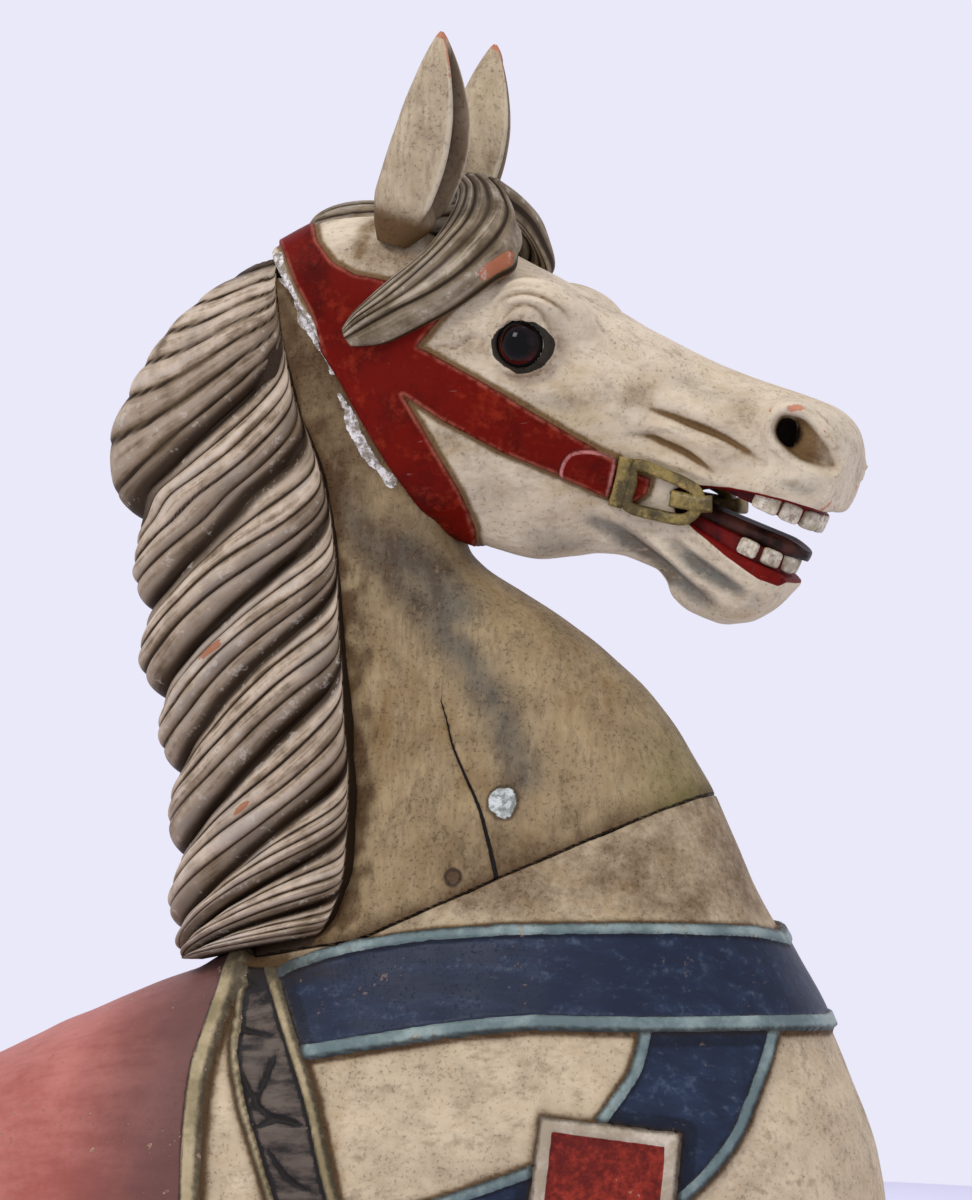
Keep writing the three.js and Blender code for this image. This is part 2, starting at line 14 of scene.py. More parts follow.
import bpy
import numpy as np
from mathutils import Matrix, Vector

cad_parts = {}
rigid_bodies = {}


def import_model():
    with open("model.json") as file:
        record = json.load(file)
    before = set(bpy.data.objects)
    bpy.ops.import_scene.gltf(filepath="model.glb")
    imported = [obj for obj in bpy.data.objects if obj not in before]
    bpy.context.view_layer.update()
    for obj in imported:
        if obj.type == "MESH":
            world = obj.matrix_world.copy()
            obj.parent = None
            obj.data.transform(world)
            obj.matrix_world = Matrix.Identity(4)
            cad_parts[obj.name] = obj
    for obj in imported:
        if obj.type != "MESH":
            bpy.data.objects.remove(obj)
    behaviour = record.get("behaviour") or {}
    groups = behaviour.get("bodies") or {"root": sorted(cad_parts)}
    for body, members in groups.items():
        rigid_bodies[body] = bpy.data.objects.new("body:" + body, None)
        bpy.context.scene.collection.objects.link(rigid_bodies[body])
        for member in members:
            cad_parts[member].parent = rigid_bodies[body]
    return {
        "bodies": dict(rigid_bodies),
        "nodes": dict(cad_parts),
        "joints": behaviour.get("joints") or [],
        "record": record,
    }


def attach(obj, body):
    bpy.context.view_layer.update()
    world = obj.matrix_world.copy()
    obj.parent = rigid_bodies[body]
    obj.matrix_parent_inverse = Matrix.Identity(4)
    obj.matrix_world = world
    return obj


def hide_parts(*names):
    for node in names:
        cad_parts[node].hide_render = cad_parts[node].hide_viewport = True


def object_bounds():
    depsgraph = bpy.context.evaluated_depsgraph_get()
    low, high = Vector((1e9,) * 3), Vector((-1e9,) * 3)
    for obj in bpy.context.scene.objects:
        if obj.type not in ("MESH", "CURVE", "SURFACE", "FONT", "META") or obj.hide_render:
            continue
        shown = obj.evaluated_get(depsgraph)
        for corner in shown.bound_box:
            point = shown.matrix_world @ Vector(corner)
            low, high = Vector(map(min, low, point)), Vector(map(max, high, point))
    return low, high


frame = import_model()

import openvdb
from mathutils import Vector

Array = np.ndarray
Pair = tuple[float, float]
Place = tuple[float, float, float]
Points = Sequence[Pair]
Colour = Place
Tones = tuple[Colour, Colour]
Number = Union["Value", float]
Socket = bpy.types.NodeSocket
Finish = bpy.types.Material
Piece = bpy.types.Object

MM = 0.001
DRAW_YAW = math.radians(16)  # the master drawing of the carving is turned this far from the side
DRAW_FROM = 5333.0  # and is drawn as seen from this far off
DRAW_CENTRE = (37.3, 424.0)
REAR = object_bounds()[0].x / MM  # the flat cut behind the withers
GLUE_GAP = 0.15
FILLER_LINE = [(-103, 652), (-97, 637), (-87, 617), (-73, 594), (-65, 576)]  # filler behind the headstall

log = logging.getLogger("carousel_horse")


class Side(Enum):
    """The horse's two sides, by the sign of Y."""

    RIGHT = -1
    LEFT = 1

    @property
    def word(self) -> str:
        """Its word in the names of pieces."""
        return self.name.lower()


# ---- Numbers and outlines ----


def profile(knots: Points) -> Callable[[Array], Array]:
    """A smooth curve through [station, size] pairs that never overshoots between two of them.

    The tangent at a knot is the harmonic mean of the slopes on its two sides, or level at a turning point,
    and each span is the cubic with those end values and tangents.

    Args:
        knots: the stations, rising, and their sizes.
    Returns:
        A function from an array of stations to an array of sizes.
    """
    x, y = np.array(knots, float).T
    slope = np.diff(y) / np.diff(x)
    before, after = slope[:-1], slope[1:]
    product = before * after
    inner = np.where(product > 0, 2 * product / np.where(product > 0, before + after, 1), 0)
    tangent = np.concatenate([slope[:1], inner, slope[-1:]])

    def at(station: Array) -> Array:
        """The curve's value, held level beyond its ends."""
        place = np.clip(station, x[0], x[-1])
        span = np.clip(np.searchsorted(x, place) - 1, 0, len(x) - 2)
        width = x[span + 1] - x[span]
        t = (place - x[span]) / width
        start = (1 + 2 * t) * (1 - t) ** 2 * y[span] + t * (1 - t) ** 2 * tangent[span] * width
        end = t * t * (3 - 2 * t) * y[span + 1] + t * t * (t - 1) * tangent[span + 1] * width
        return start + end

    return at


def smoothstep(low: float, high: float, x: Array) -> Array:
    """0 below low and 1 above high, with an S curve between."""
    t = np.clip((x - low) / (high - low), 0, 1)
    return t * t * (3 - 2 * t)


def lap(count: int) -> Array:
    """A row of that many angles, evenly once round."""
    return np.linspace(0, 2 * np.pi, count, endpoint=False)[None, :]


def edge_rise(inside: Array, run: float = 1.6) -> Array:
    """0 outside a shape and 1 inside it, rising over about run millimetres at its edge."""
    return smoothstep(-run * 0.6, run * 0.6, inside)


def bell(away: Array, width: Array | float) -> Array:
    """exp(-(away / width) ** 2), which is 1 where away is 0 and fades on both sides."""
    return np.exp(-((away / width) ** 2))


def patch(u: Array, z: Array, centre: Pair, reach: Pair) -> Array:
    """A soft round patch, 1 at its centre, which is the product of a bell along u and one along z."""
    return np.exp(-(((u - centre[0]) / reach[0]) ** 2) - ((z - centre[1]) / reach[1]) ** 2)


def squarish(wave: Array, power: float) -> Array:
    """A sine or cosine with its size raised to a power below 1, which squares the circle that it draws."""
    return np.sign(wave) * np.abs(wave) ** power


def blend_min(a: Array, b: Array, radius: float) -> Array:
    """The smaller of two distances, rounded over where they are within radius of each other."""
    h = np.clip(0.5 + 0.5 * (b - a) / radius, 0, 1)
    return b + (a - b) * h - radius * h * (1 - h)


def blend_max(a: Array, b: Array, radius: float) -> Array:
    """The larger of two distances, rounded over where they are within radius of each other."""
    return -blend_min(-a, -b, radius)


def rounded(points: Points, steps: int = 6, closed: bool = False) -> Array:
    """A Catmull-Rom curve through the points, with that many steps between each two.

    Args:
        points: the points that it passes through, in any number of dimensions.
        steps: samples for each span.
        closed: whether it returns to its first point.
    Returns:
        The samples, one row for each.
    """
    p = np.array(points, float)
    first, last = (p[-1:], p[:2]) if closed else (2 * p[:1] - p[1:2], 2 * p[-1:] - p[-2:-1])
    p = np.concatenate([first, p, last])
    t = np.linspace(0, 1, steps, endpoint=False)[None, :, None]
    a, b, c, d = (p[i : len(p) - 3 + i, None, :] for i in range(4))
    spans = 0.5 * (2 * b + (c - a) * t + (2 * a - 5 * b + 4 * c - d) * t**2 + (3 * b - a - 3 * c + d) * t**3)
    samples = spans.reshape(-1, p.shape[1])
    return samples if closed else np.concatenate([samples, p[-2:-1]])


def resampled(points: Array, count: int) -> Array:
    """The same line with its samples evenly spaced along it."""
    length = np.concatenate([[0], np.cumsum(np.linalg.norm(np.diff(points, axis=0), axis=1))])
    places = np.linspace(0, length[-1], count)
    return np.stack([np.interp(places, length, points[:, i]) for i in range(points.shape[1])], axis=1)


def line_distance(u: Array, z: Array, line: Array) -> tuple[Array, Array]:
    """Distance from each place to a polyline, and the share of its length at the nearest point."""
    lengths = np.linalg.norm(np.diff(line, axis=0), axis=1)
    starts = np.concatenate([[0], np.cumsum(lengths)])
    best, share = np.full(u.shape, 1e9), np.zeros(u.shape)
    for i, length in enumerate(lengths):
        if length < 1e-9:
            continue
        (ax, az), (bx, bz) = line[i], line[i + 1]
        t = np.clip(((u - ax) * (bx - ax) + (z - az) * (bz - az)) / length**2, 0, 1)
        away = (u - ax - t * (bx - ax)) ** 2 + (z - az - t * (bz - az)) ** 2
        nearer = away < best
        best = np.where(nearer, away, best)
        share = np.where(nearer, (starts[i] + t * length) / starts[-1], share)
    return np.sqrt(best), share


def near_line(u: Array, z: Array, points: Points) -> Array:
    """Distance from each place to the rounded line through some points."""
    return line_distance(u, z, rounded(points))[0]


def inside_distance(u: Array, z: Array, outline: Array | Points) -> Array:
    """Distance to a closed outline: positive inside it and negative outside."""
    outline = np.asarray(outline, float)
    line = np.concatenate([outline, outline[:1]])
    away, _ = line_distance(u, z, line)
    inside = np.zeros(u.shape, bool)
    for (ax, az), (bx, bz) in zip(line[:-1], line[1:]):
        if abs(bz - az) > 1e-9:
            crosses = ((az > z) != (bz > z)) & (u < (bx - ax) * (z - az) / (bz - az) + ax)
            inside ^= crosses
    return np.where(inside, away, -away)


def drawn(points: Array) -> tuple[Array, Array]:
    """Where points fall on the master drawing, the same for both sides of the horse.

    A point lies right = x cos(yaw) - |y| sin(yaw) across the sheet and near = x sin(yaw) + |y| cos(yaw) in
    front of it, and is drawn larger about the sheet's centre by from / (from - near).

    Args:
        points: places on the horse.
    Returns:
        Their places across and up the drawing.
    """
    x, y, z = points[..., 0], np.abs(points[..., 1]), points[..., 2]
    right = x * math.cos(DRAW_YAW) - y * math.sin(DRAW_YAW)
    scale = DRAW_FROM / (DRAW_FROM - x * math.sin(DRAW_YAW) - y * math.cos(DRAW_YAW))
    return DRAW_CENTRE[0] + (right - DRAW_CENTRE[0]) * scale, DRAW_CENTRE[1] + (z - DRAW_CENTRE[1]) * scale


def undrawn(u: Array, z: Array, y: Array) -> Array:
    """The point on the right side of the horse, y away from its middle, that is drawn at u and z."""
    x, height = np.asarray(u, float), np.asarray(z, float)
    for _ in range(5):
        scale = (DRAW_FROM - x * math.sin(DRAW_YAW) - y * math.cos(DRAW_YAW)) / DRAW_FROM
        x = (DRAW_CENTRE[0] + (u - DRAW_CENTRE[0]) * scale + y * math.sin(DRAW_YAW)) / math.cos(DRAW_YAW)
        height = DRAW_CENTRE[1] + (z - DRAW_CENTRE[1]) * scale
    return np.stack([x, -y, height], axis=-1)


def waviness(points: Array, size: float, seed: int) -> Array:
    """Soft irregular waves about -1 to 1 in space: a sum of sines in fixed random directions.

    Args:
        points: places, in millimetres.
        size: the usual wavelength.
        seed: picks the directions.
    Returns:
        One value for each point.
    """
    count = 9
    rng = np.random.default_rng(seed)
    waves = rng.normal(size=(count, 3))
    waves /= np.linalg.norm(waves, axis=1)[:, None]
    waves *= 2 * np.pi / (size * rng.uniform(0.6, 1.6, count))[:, None]
    return np.sin(points @ waves.T + rng.uniform(0, 6.28, count)).sum(axis=1) / 4.0


@dataclass(frozen=True)
class Stroke:
    """A furrow or a ridge on the drawing plane: deepest on its line, and fading towards both of its ends.

    Its height at a distance d is depth * exp(-(d / width) ** 2), times the 0.6th power of a half sine of the
    place along it.
    """

    line: Points
    width: float
    depth: float

    def relief(self, u: Array, z: Array) -> Array:
        """Height that the stroke adds at each place."""
        away, share = line_distance(u, z, rounded(self.line, 5))
        return self.depth * bell(away, self.width) * np.sin(np.pi * np.clip(share, 0.02, 0.98)) ** 0.6


# ---- Meshes ----


@dataclass
class Shell:
    """A closed skin: points in millimetres, faces, and named values at its points."""

    points: Array
    quads: Array
    layers: dict[str, Array] = field(default_factory=dict)
    flat: int = 0  # how many of its last faces are sawn flat

    def normals(self) -> Array:
        """The mean direction of the faces round each point, weighted by their area."""
        a, b, c, d = (self.points[self.quads[:, i]] for i in range(4))
        face = np.cross(c - a, d - b)
        corners, count = self.quads.ravel(), len(self.points)
        total = np.stack([np.bincount(corners, np.repeat(face[:, i], 4), count) for i in range(3)], axis=1)
        return total / np.maximum(np.linalg.norm(total, axis=1), 1e-9)[:, None]

    def build(self, name: str, material: Finish) -> Piece:
        """Makes the skin a Blender object at the origin.

        Args:
            name: the piece's name.
            material: its finish.
        Returns:
            The new object, linked into the scene.
        """
        mesh = bpy.data.meshes.new(name)
        faces = [f[:3] if f[2] == f[3] else f[1:] if f[0] == f[1] else f for f in self.quads.tolist()]
        mesh.from_pydata((self.points * MM).tolist(), [], faces)
        for key, values in self.layers.items():
            layer = mesh.attributes.new(key, "FLOAT", "POINT")
            layer.data.foreach_set("value", np.asarray(values, np.float32))
        count = len(mesh.polygons)
        mesh.polygons.foreach_set("use_smooth", np.arange(count) < count - self.flat)
        mesh.materials.append(material)
        mesh.validate()
        mesh.update()
        piece = bpy.data.objects.new(name, mesh)
        bpy.context.scene.collection.objects.link(piece)
        return piece


def skin_of(distance: Callable[[Array, Array, Array], Array], low: Array, high: Array, cell: float) -> Shell:
    """The surface where a distance field crosses zero, as quads about one cell wide.

    Args:
        distance: from x, |y| and z to millimetres outside the solid.
        low: lowest corner of the space that is searched.
        high: its highest corner.
        cell: spacing of the samples.
    Returns:
        The closed skin.
    """
    axes = [np.arange(lo - cell, hi + 2 * cell, cell) for lo, hi in zip(low, high)]
    x, y, z = np.meshgrid(*axes, indexing="ij")
    grid = openvdb.FloatGrid(10 * cell)
    grid.copyFromArray(np.clip(distance(x, np.abs(y), z), -10 * cell, 10 * cell).astype(np.float32))
    points, quads = grid.convertToQuads(0.0)
    return Shell(points.astype(float) * cell + [axis[0] for axis in axes], quads.astype(np.int64))


def scaled_distance(level: Array, cell: float) -> Array:
    """Millimetres from a surface that is level = 0, which is the level over the length of its slope."""
    slope = np.sqrt(sum(g * g for g in np.gradient(level, cell)))
    return level / np.maximum(slope, 2e-3)


def ellipsoid(x: Array, y: Array, z: Array, centre: Sequence[float], radii: Sequence[float]) -> Array:
    """Nearly the distance to an ellipsoid with its axes along x, y and z."""
    p = [(v - c) for v, c in zip((x, y, z), centre)]
    near = np.sqrt(sum((v / r) ** 2 for v, r in zip(p, radii)))
    slope = np.sqrt(sum((v / r**2) ** 2 for v, r in zip(p, radii)))
    return near * (near - 1) / np.maximum(slope, 1e-6)


def sawn(shell: Shell, low_x: float, low_z: float) -> Shell:
    """Cuts a skin off square behind and below, and closes both cuts by a fan from the corner between them."""
    outside = (shell.points[:, 0] < low_x) | (shell.points[:, 2] < low_z)
    kept = shell.quads[~outside[shell.quads].all(axis=1)]
    points = np.maximum(shell.points, [low_x, -1e9, low_z])
    start, end = kept.ravel(), np.roll(kept, -1, axis=1).ravel()
    count = len(points)
    bare = ~np.isin(start * count + end, end * count + start)
    start, end = start[bare], end[bare]
    centre = np.full(len(start), count)
    faces = np.concatenate([kept, np.stack([end, start, centre, centre], axis=-1)])
    points = np.concatenate([points, [[low_x, 0, low_z]]])
    used, places = np.unique(faces, return_inverse=True)
    return Shell(points[used], places.reshape(faces.shape), {}, len(start))


def grid_quads(rows: int, columns: int) -> Array:
    """Faces of a grid whose last column joins its first."""
    index = np.arange(rows * columns).reshape(rows, columns)
    ahead = np.roll(index, -1, axis=1)
    return np.stack([index[:-1], ahead[:-1], ahead[1:], index[1:]], axis=-1).reshape(-1, 4)


def tube_shell(grid: Array, layers: dict[str, Array] | None = None) -> Shell:
    """A closed skin from a grid of rings, each end closed by a fan onto the middle of its ring.

    Args:
        grid: rows x columns x 3 points, each row a ring that joins itself.
        layers: named values, rows x columns.
    Returns:
        The skin, whose last two points are the middles of the ends.
    """
    rows, columns = grid.shape[:2]
    ends = np.stack([grid[0].mean(axis=0), grid[-1].mean(axis=0)])
    ring = np.arange(columns)
    ahead = np.roll(ring, -1)
    count = rows * columns
    hub, back = np.full(columns, count), count - columns
    first = np.stack([ahead, ring, hub, hub], axis=-1)
    last = np.stack([ring + back, ahead + back, hub + 1, hub + 1], axis=-1)
    points = np.concatenate([grid.reshape(-1, 3), ends])
    spread = {k: np.concatenate([v.ravel(), [v[0].mean(), v[-1].mean()]]) for k, v in (layers or {}).items()}
    return outward(Shell(points, np.concatenate([grid_quads(rows, columns), first, last]), spread))


def outward(shell: Shell) -> Shell:
    """The same skin with its faces turned out, by the sign of the space that it holds."""
    a, b, c, d = (shell.points[shell.quads[:, i]] for i in range(4))
    volume = (np.cross(b - a, c - a) * a).sum() + (np.cross(c - a, d - a) * a).sum()
    return Shell(shell.points, shell.quads[:, ::-1] if volume < 0 else shell.quads, shell.layers)


def both_sides(shell: Shell) -> Shell:
    """The skin with its mirror image across the horse."""
    mirrored = shell.points * [1, -1, 1]
    quads = np.concatenate([shell.quads, shell.quads[:, ::-1] + len(shell.points)])
    layers = {k: np.tile(v, 2) for k, v in shell.layers.items()}
    return Shell(np.concatenate([shell.points, mirrored]), quads, layers)


def together(*shells: Shell) -> Shell:
    """Several skins as one."""
    starts = np.cumsum([0] + [len(s.points) for s in shells[:-1]])
    keys = {k for s in shells for k in s.layers}
    layers = {k: np.concatenate([s.layers.get(k, np.zeros(len(s.points))) for s in shells]) for k in keys}
    quads = np.concatenate([s.quads + start for s, start in zip(shells, starts)])
    return Shell(np.concatenate([s.points for s in shells]), quads, layers)


# ---- Shader expressions ----


class Value:
    """A number that a material works out, which takes part in ordinary sums."""

    def __init__(self, paint: "Paint", socket: Socket) -> None:
        """Wraps one output socket of the paint's nodes."""
        self.paint, self.socket = paint, socket

    def __add__(self, other: Number) -> "Value":
        """self + other."""
        return self.paint.maths("ADD", self, other)

    __radd__ = __add__

    def __sub__(self, other: Number) -> "Value":
        """self - other."""
        return self.paint.maths("SUBTRACT", self, other)

    def __rsub__(self, other: Number) -> "Value":
        """other - self."""
        return self.paint.maths("SUBTRACT", other, self)

    def __mul__(self, other: Number) -> "Value":
        """self * other."""
        return self.paint.maths("MULTIPLY", self, other)

    __rmul__ = __mul__

    def __abs__(self) -> "Value":
        """The size of self."""
        return self.paint.maths("ABSOLUTE", self)

    def most(self, other: Number) -> "Value":
        """The larger of the two."""
        return self.paint.maths("MAXIMUM", self, other)

    def least(self, other: Number) -> "Value":
        """The smaller of the two."""
        return self.paint.maths("MINIMUM", self, other)

    def step(self, low: float, high: float) -> "Value":
        """0 at low and 1 at high, with an S curve between; low may be the larger."""
        settings = {"interpolation_type": "SMOOTHSTEP", "clamp": True}
        inputs = {"Value": self, "From Min": low, "From Max": high, "To Min": 0.0, "To Max": 1.0}
        if low > high:
            inputs.update({"From Min": high, "From Max": low, "To Min": 1.0, "To Max": 0.0})
        return Value(self.paint, self.paint.node("ShaderNodeMapRange", settings, inputs).outputs["Result"])


class Paint:
    """One material, built up in layers of colour from the bare ground outwards."""

    def __init__(self, name: str) -> None:
        """Starts an empty material with its shader and its place on the object."""
        self.material = bpy.data.materials.new(name)
        self.material.use_nodes = True
        self.tree = self.material.node_tree
        self.tree.nodes.clear()
        self.place = self.node("ShaderNodeTexCoord").outputs["Object"]
        self.shader = self.node("ShaderNodeBsdfPrincipled")
        output = self.node("ShaderNodeOutputMaterial")
        self.tree.links.new(self.shader.outputs[0], output.inputs[0])
        self.colour: Socket | None = None

    def node(self, kind: str, settings: dict | None = None, inputs: dict | None = None) -> bpy.types.Node:
        """Adds a node.

        Args:
            kind: its type.
            settings: its own properties, set before its sockets.
            inputs: socket name or number to a value, a Value or another socket.
        Returns:
            The node.
        """
        made = self.tree.nodes.new(kind)
        for key, value in (settings or {}).items():
            setattr(made, key, value)
        for key, value in (inputs or {}).items():
            target = made.inputs[key]
            source = value.socket if isinstance(value, Value) else value
            if isinstance(source, Socket):
                self.tree.links.new(source, target)
            elif isinstance(source, tuple) and len(source) == 3 and target.type == "RGBA":
                target.default_value = (*source, 1.0)
            else:
                target.default_value = source
        return made

    def maths(self, operation: str, a: Number, b: Number = 0.0) -> Value:
        """One step of arithmetic."""
        return Value(self, self.node("ShaderNodeMath", {"operation": operation}, {0: a, 1: b}).outputs[0])

    def layer(self, name: str) -> Value:
        """A value stored at the mesh's points."""
        return Value(self, self.node("ShaderNodeAttribute", {"attribute_name": name}).outputs["Fac"])

    def noise(self, scale: float, detail: int = 4, rough: float = 0.55, run: Place | None = None) -> Value:
        """Cloudy noise about 0.5, scale being its lumps in one metre and run how its axes are stretched."""
        vector = self.place
        if run:
            vector = self.node("ShaderNodeMapping", None, {"Vector": vector, "Scale": run}).outputs[0]
        inputs = {"Vector": vector, "Scale": scale, "Detail": float(detail), "Roughness": rough}
        return Value(self, self.node("ShaderNodeTexNoise", None, inputs).outputs[0])

    def mixed(self, amount: Number, under: object, over: object) -> Socket:
        """One colour over another by an amount."""
        made = self.node("ShaderNodeMix", {"data_type": "RGBA"}, {0: amount, 6: under, 7: over})
        return made.outputs[2]

    def ground(self, low: Colour, high: Colour, amount: Value) -> None:
        """The first coat, which varies between two colours."""
        self.colour = self.mixed(amount, low, high)

    def coat(self, colour: object, mask: Number) -> None:
        """Another coat of colour where the mask is."""
        self.colour = self.mixed(mask, self.colour, colour)

    def close(
        self, roughness: Number, relief: Value | None = None, depth: float = 0.0005, shine: float = 0.5
    ) -> Finish:
        """Feeds the shader.

        Args:
            roughness: of the surface.
            relief: fine height, about 0 to 1.
            depth: metres of height that 1 stands for.
            shine: strength of the mirror-like part.
        Returns:
            The material.
        """
        self.tree.links.new(self.colour, self.shader.inputs["Base Color"])
        if isinstance(roughness, Value):
            self.tree.links.new(roughness.socket, self.shader.inputs["Roughness"])
        else:
            self.shader.inputs["Roughness"].default_value = roughness
        if relief is not None:
            bump = self.node("ShaderNodeBump", None, {"Height": relief, "Distance": depth, "Strength": 1.0})
            self.tree.links.new(bump.outputs[0], self.shader.inputs["Normal"])
        self.shader.inputs["Specular IOR Level"].default_value = shine
        return self.material


def srgb(code: str) -> Colour:
    """A colour given as six hexadecimal digits, in linear light."""
    parts = [int(code[i : i + 2], 16) / 255 for i in (0, 2, 4)]
    return tuple(p / 12.92 if p <= 0.04045 else ((p + 0.055) / 1.055) ** 2.4 for p in parts)


def tones(dark: str, light: str) -> Tones:
    """Two colours that a coat varies between."""
    return srgb(dark), srgb(light)


# ---- Finishes ----


@dataclass(frozen=True)
class OldPaint:
    """Ivory oil paint on wood: brushed, browned in its hollows, speckled, and chipped to a pink ground."""

    light: Colour = srgb("CFC0A0")
    dark: Colour = srgb("A8926B")
    # brown of the grime in the hollows, also laid as painted shade where the layer holds shade
    grime_and_shade: Colour = srgb("573E20")
    # grey-blue of the airbrushed shading: partly the horse's own paint, partly painted shade in creases and
    # under the jaw
    smoke: Colour = srgb("454D4C")
    chip: Colour = srgb("C07A5C")
    gesso: Colour = srgb("E4E1DC")
    old_gesso: Colour = srgb("8C8272")
    # black of the painted eye rims, also laid as painted shade in the nostril pits
    soot: Colour = srgb("0B0908")
    fly_speck: Colour = srgb("4A361E")

    def start(self, name: str, dirt: float, grain: Place) -> tuple[Paint, Value]:
        """Lays the ground coat with its grime and grey shading, both partly painted shade.

        Args:
            name: the material's name.
            dirt: 0 for a clean piece and 1 for a dirty one.
            grain: how the brush strokes are stretched, small along their own way.
        Returns:
            The paint, and the fine relief so far.
        """
        paint = Paint(name)
        hollow, wear = paint.layer("hollow"), paint.layer("wear")
        cloud, rubbed, fine = paint.noise(8, 5, 0.6), paint.noise(34, 7, 0.66), paint.noise(230, 5, 0.7)
        brush, hair = paint.noise(95, 6, 0.62, grain), paint.noise(300, 4, 0.6, grain)
        paint.ground(self.dark, self.light, (0.6 * cloud + 0.4 * brush + 0.12 * (1 - dirt)).step(0.36, 0.6))
        # grey shading where the layer calls for it: partly airbrushed paint, partly painted shade
        smoke = paint.layer("smoke") * (0.7 + 0.8 * (brush - 0.5) + 0.7 * (rubbed - 0.5))
        paint.coat(self.smoke, smoke.step(0.08, 1.0) * 0.85)
        stain = (0.4 * rubbed + 0.2 * brush + 0.4 * cloud + 0.3 * hollow + 0.06 * dirt).step(0.42, 0.8)
        paint.coat(self.grime_and_shade, stain * (0.42 + 0.45 * dirt))
        streak = (0.45 * brush + 0.55 * hair + 0.04 * dirt).step(0.5, 0.72)
        paint.coat(self.grime_and_shade, streak * (0.32 + 0.3 * dirt))
        paint.coat(self.light, (0.6 * hair + 0.2 * rubbed + 0.2 * fine).step(0.52, 0.68) * 0.35)
        # grime in the hollows, and painted shade where the layer carries it
        paint.coat(self.grime_and_shade, (hollow + 0.7 * (fine - 0.5) + 0.9 * (rubbed - 0.5)).step(0.2, 0.85) * 0.9)
        speck = (0.8 * paint.noise(380, 4, 0.75) + 0.18 * rubbed + 0.03 * dirt).step(0.56, 0.68)
        paint.coat(self.fly_speck, speck * 0.35)
        chips = (paint.noise(52, 7, 0.6) + 0.2 * wear + 0.1 * (fine - 0.5)).step(0.74, 0.755)
        paint.coat(self.chip, chips * 0.85)
        flake = (1.5 * paint.layer("gesso") + 3.0 * (paint.noise(90, 7, 0.7) - 0.5)).step(0.9, 1.0)
        paint.coat(paint.mixed(fine.step(0.42, 0.62), self.old_gesso, self.gesso), flake)
        # black eye rims, and painted shade in the nostril pits
        paint.coat(self.soot, (paint.layer("soot") + 0.5 * (fine - 0.5)).step(0.35, 0.75) * 0.95)
        relief = 0.35 * fine + 0.45 * brush + 0.4 * rubbed - 0.5 * speck - 0.7 * chips + 0.8 * flake
        return paint, relief


def edge_of(paint: Paint, name: str, ragged: float = 0.9) -> tuple[Value, Value]:
    """The area of one painted shape and how far inside its edge a place is.

    Args:
        paint: the material.
        name: the stored distance to the shape's edge, in millimetres.
        ragged: millimetres by which the brush strayed.
    Returns:
        A mask, and the distance with that wander.
    """
    inside = paint.layer(name) + ragged * (paint.noise(90, 4) - 0.5) * 2.0
    return inside.step(-0.25, 0.25), inside


# ---- The trunk's form, shared by the breast and the neck ----


@dataclass
class TrunkForm:
    """Level sections through the breast and neck, upright sections through the barrel, and the glue lines."""

    power: float = 2.3
    barrel_middle: float = -70
    seam_corner: Pair = (-25, 200)
    seam_rise: float = 0.44
    seam_fall: float = 0.15
    poll: Pair = (-100, 654)
    throat: Pair = (18, 470)

    def __post_init__(self) -> None:
        """Sets out the profiles of the sections."""
        self.front = profile([
            (-20, 310), (24, 308), (57, 303), (84, 295), (110, 284), (154, 266), (190, 246), (237, 220),
            (270, 206), (300, 192), (340, 168), (367, 146), (390, 119), (410, 92), (427, 64), (444, 38),
            (458, 25), (471, 22), (490, 40), (510, 38), (560, 5), (620, -25), (660, -45),
        ])
        self.back = profile([
            (-20, -180), (100, -180), (170, -150), (217, -110), (290, -97), (344, -97), (397, -102),
            (451, -108), (504, -118), (557, -132), (600, -140), (630, -135), (660, -118),
        ])
        self.half_width = profile([
            (-20, 146), (57, 141), (110, 130), (154, 116), (190, 102), (217, 90), (250, 78), (290, 69),
            (344, 60), (397, 54), (451, 49), (504, 46), (557, 44), (620, 42), (660, 34),
        ])
        self.barrel_top = profile([
            (-330, 99), (-298, 114), (-229, 145), (-162, 171), (-100, 186), (0, 186), (80, 150),
        ])
        self.barrel_half_width = profile([(-330, 142), (-200, 150), (-60, 150), (20, 142), (80, 120)])

    def trunk(self, x: Array, y: Array, z: Array, cell: float) -> Array:
        """Distance to the breast and neck: a rounded box in each level section."""
        front, back = self.front(z), self.back(z)
        across = np.abs(x - (front + back) / 2) / ((front - back) / 2)
        level = (across**self.power + (y / self.half_width(z)) ** self.power) ** (1 / self.power) - 1
        return scaled_distance(level, cell)

    def barrel(self, x: Array, y: Array, z: Array, cell: float) -> Array:
        """Distance to the barrel: a rounded box in each upright section."""
        rise = np.abs(z - self.barrel_middle) / (self.barrel_top(x) - self.barrel_middle)
        level = (rise**self.power + (y / self.barrel_half_width(x)) ** self.power) ** (1 / self.power) - 1
        return np.maximum(scaled_distance(level, cell), x - 80)

    def neck_seam(self, x: Array, z: Array) -> Array:
        """Height above the glue line between breast and neck."""
        corner_x, corner_z = self.seam_corner
        slope = np.where(x > corner_x, self.seam_rise, self.seam_fall)
        return (z - corner_z - (x - corner_x) * slope) / np.sqrt(1 + slope**2)

    def head_seam(self, x: Array, z: Array) -> Array:
        """Distance ahead of the glue line between neck and head."""
        run, fall = self.throat[0] - self.poll[0], self.poll[1] - self.throat[1]
        return ((x - self.poll[0]) * fall - (self.poll[1] - z) * run) / math.hypot(run, fall)


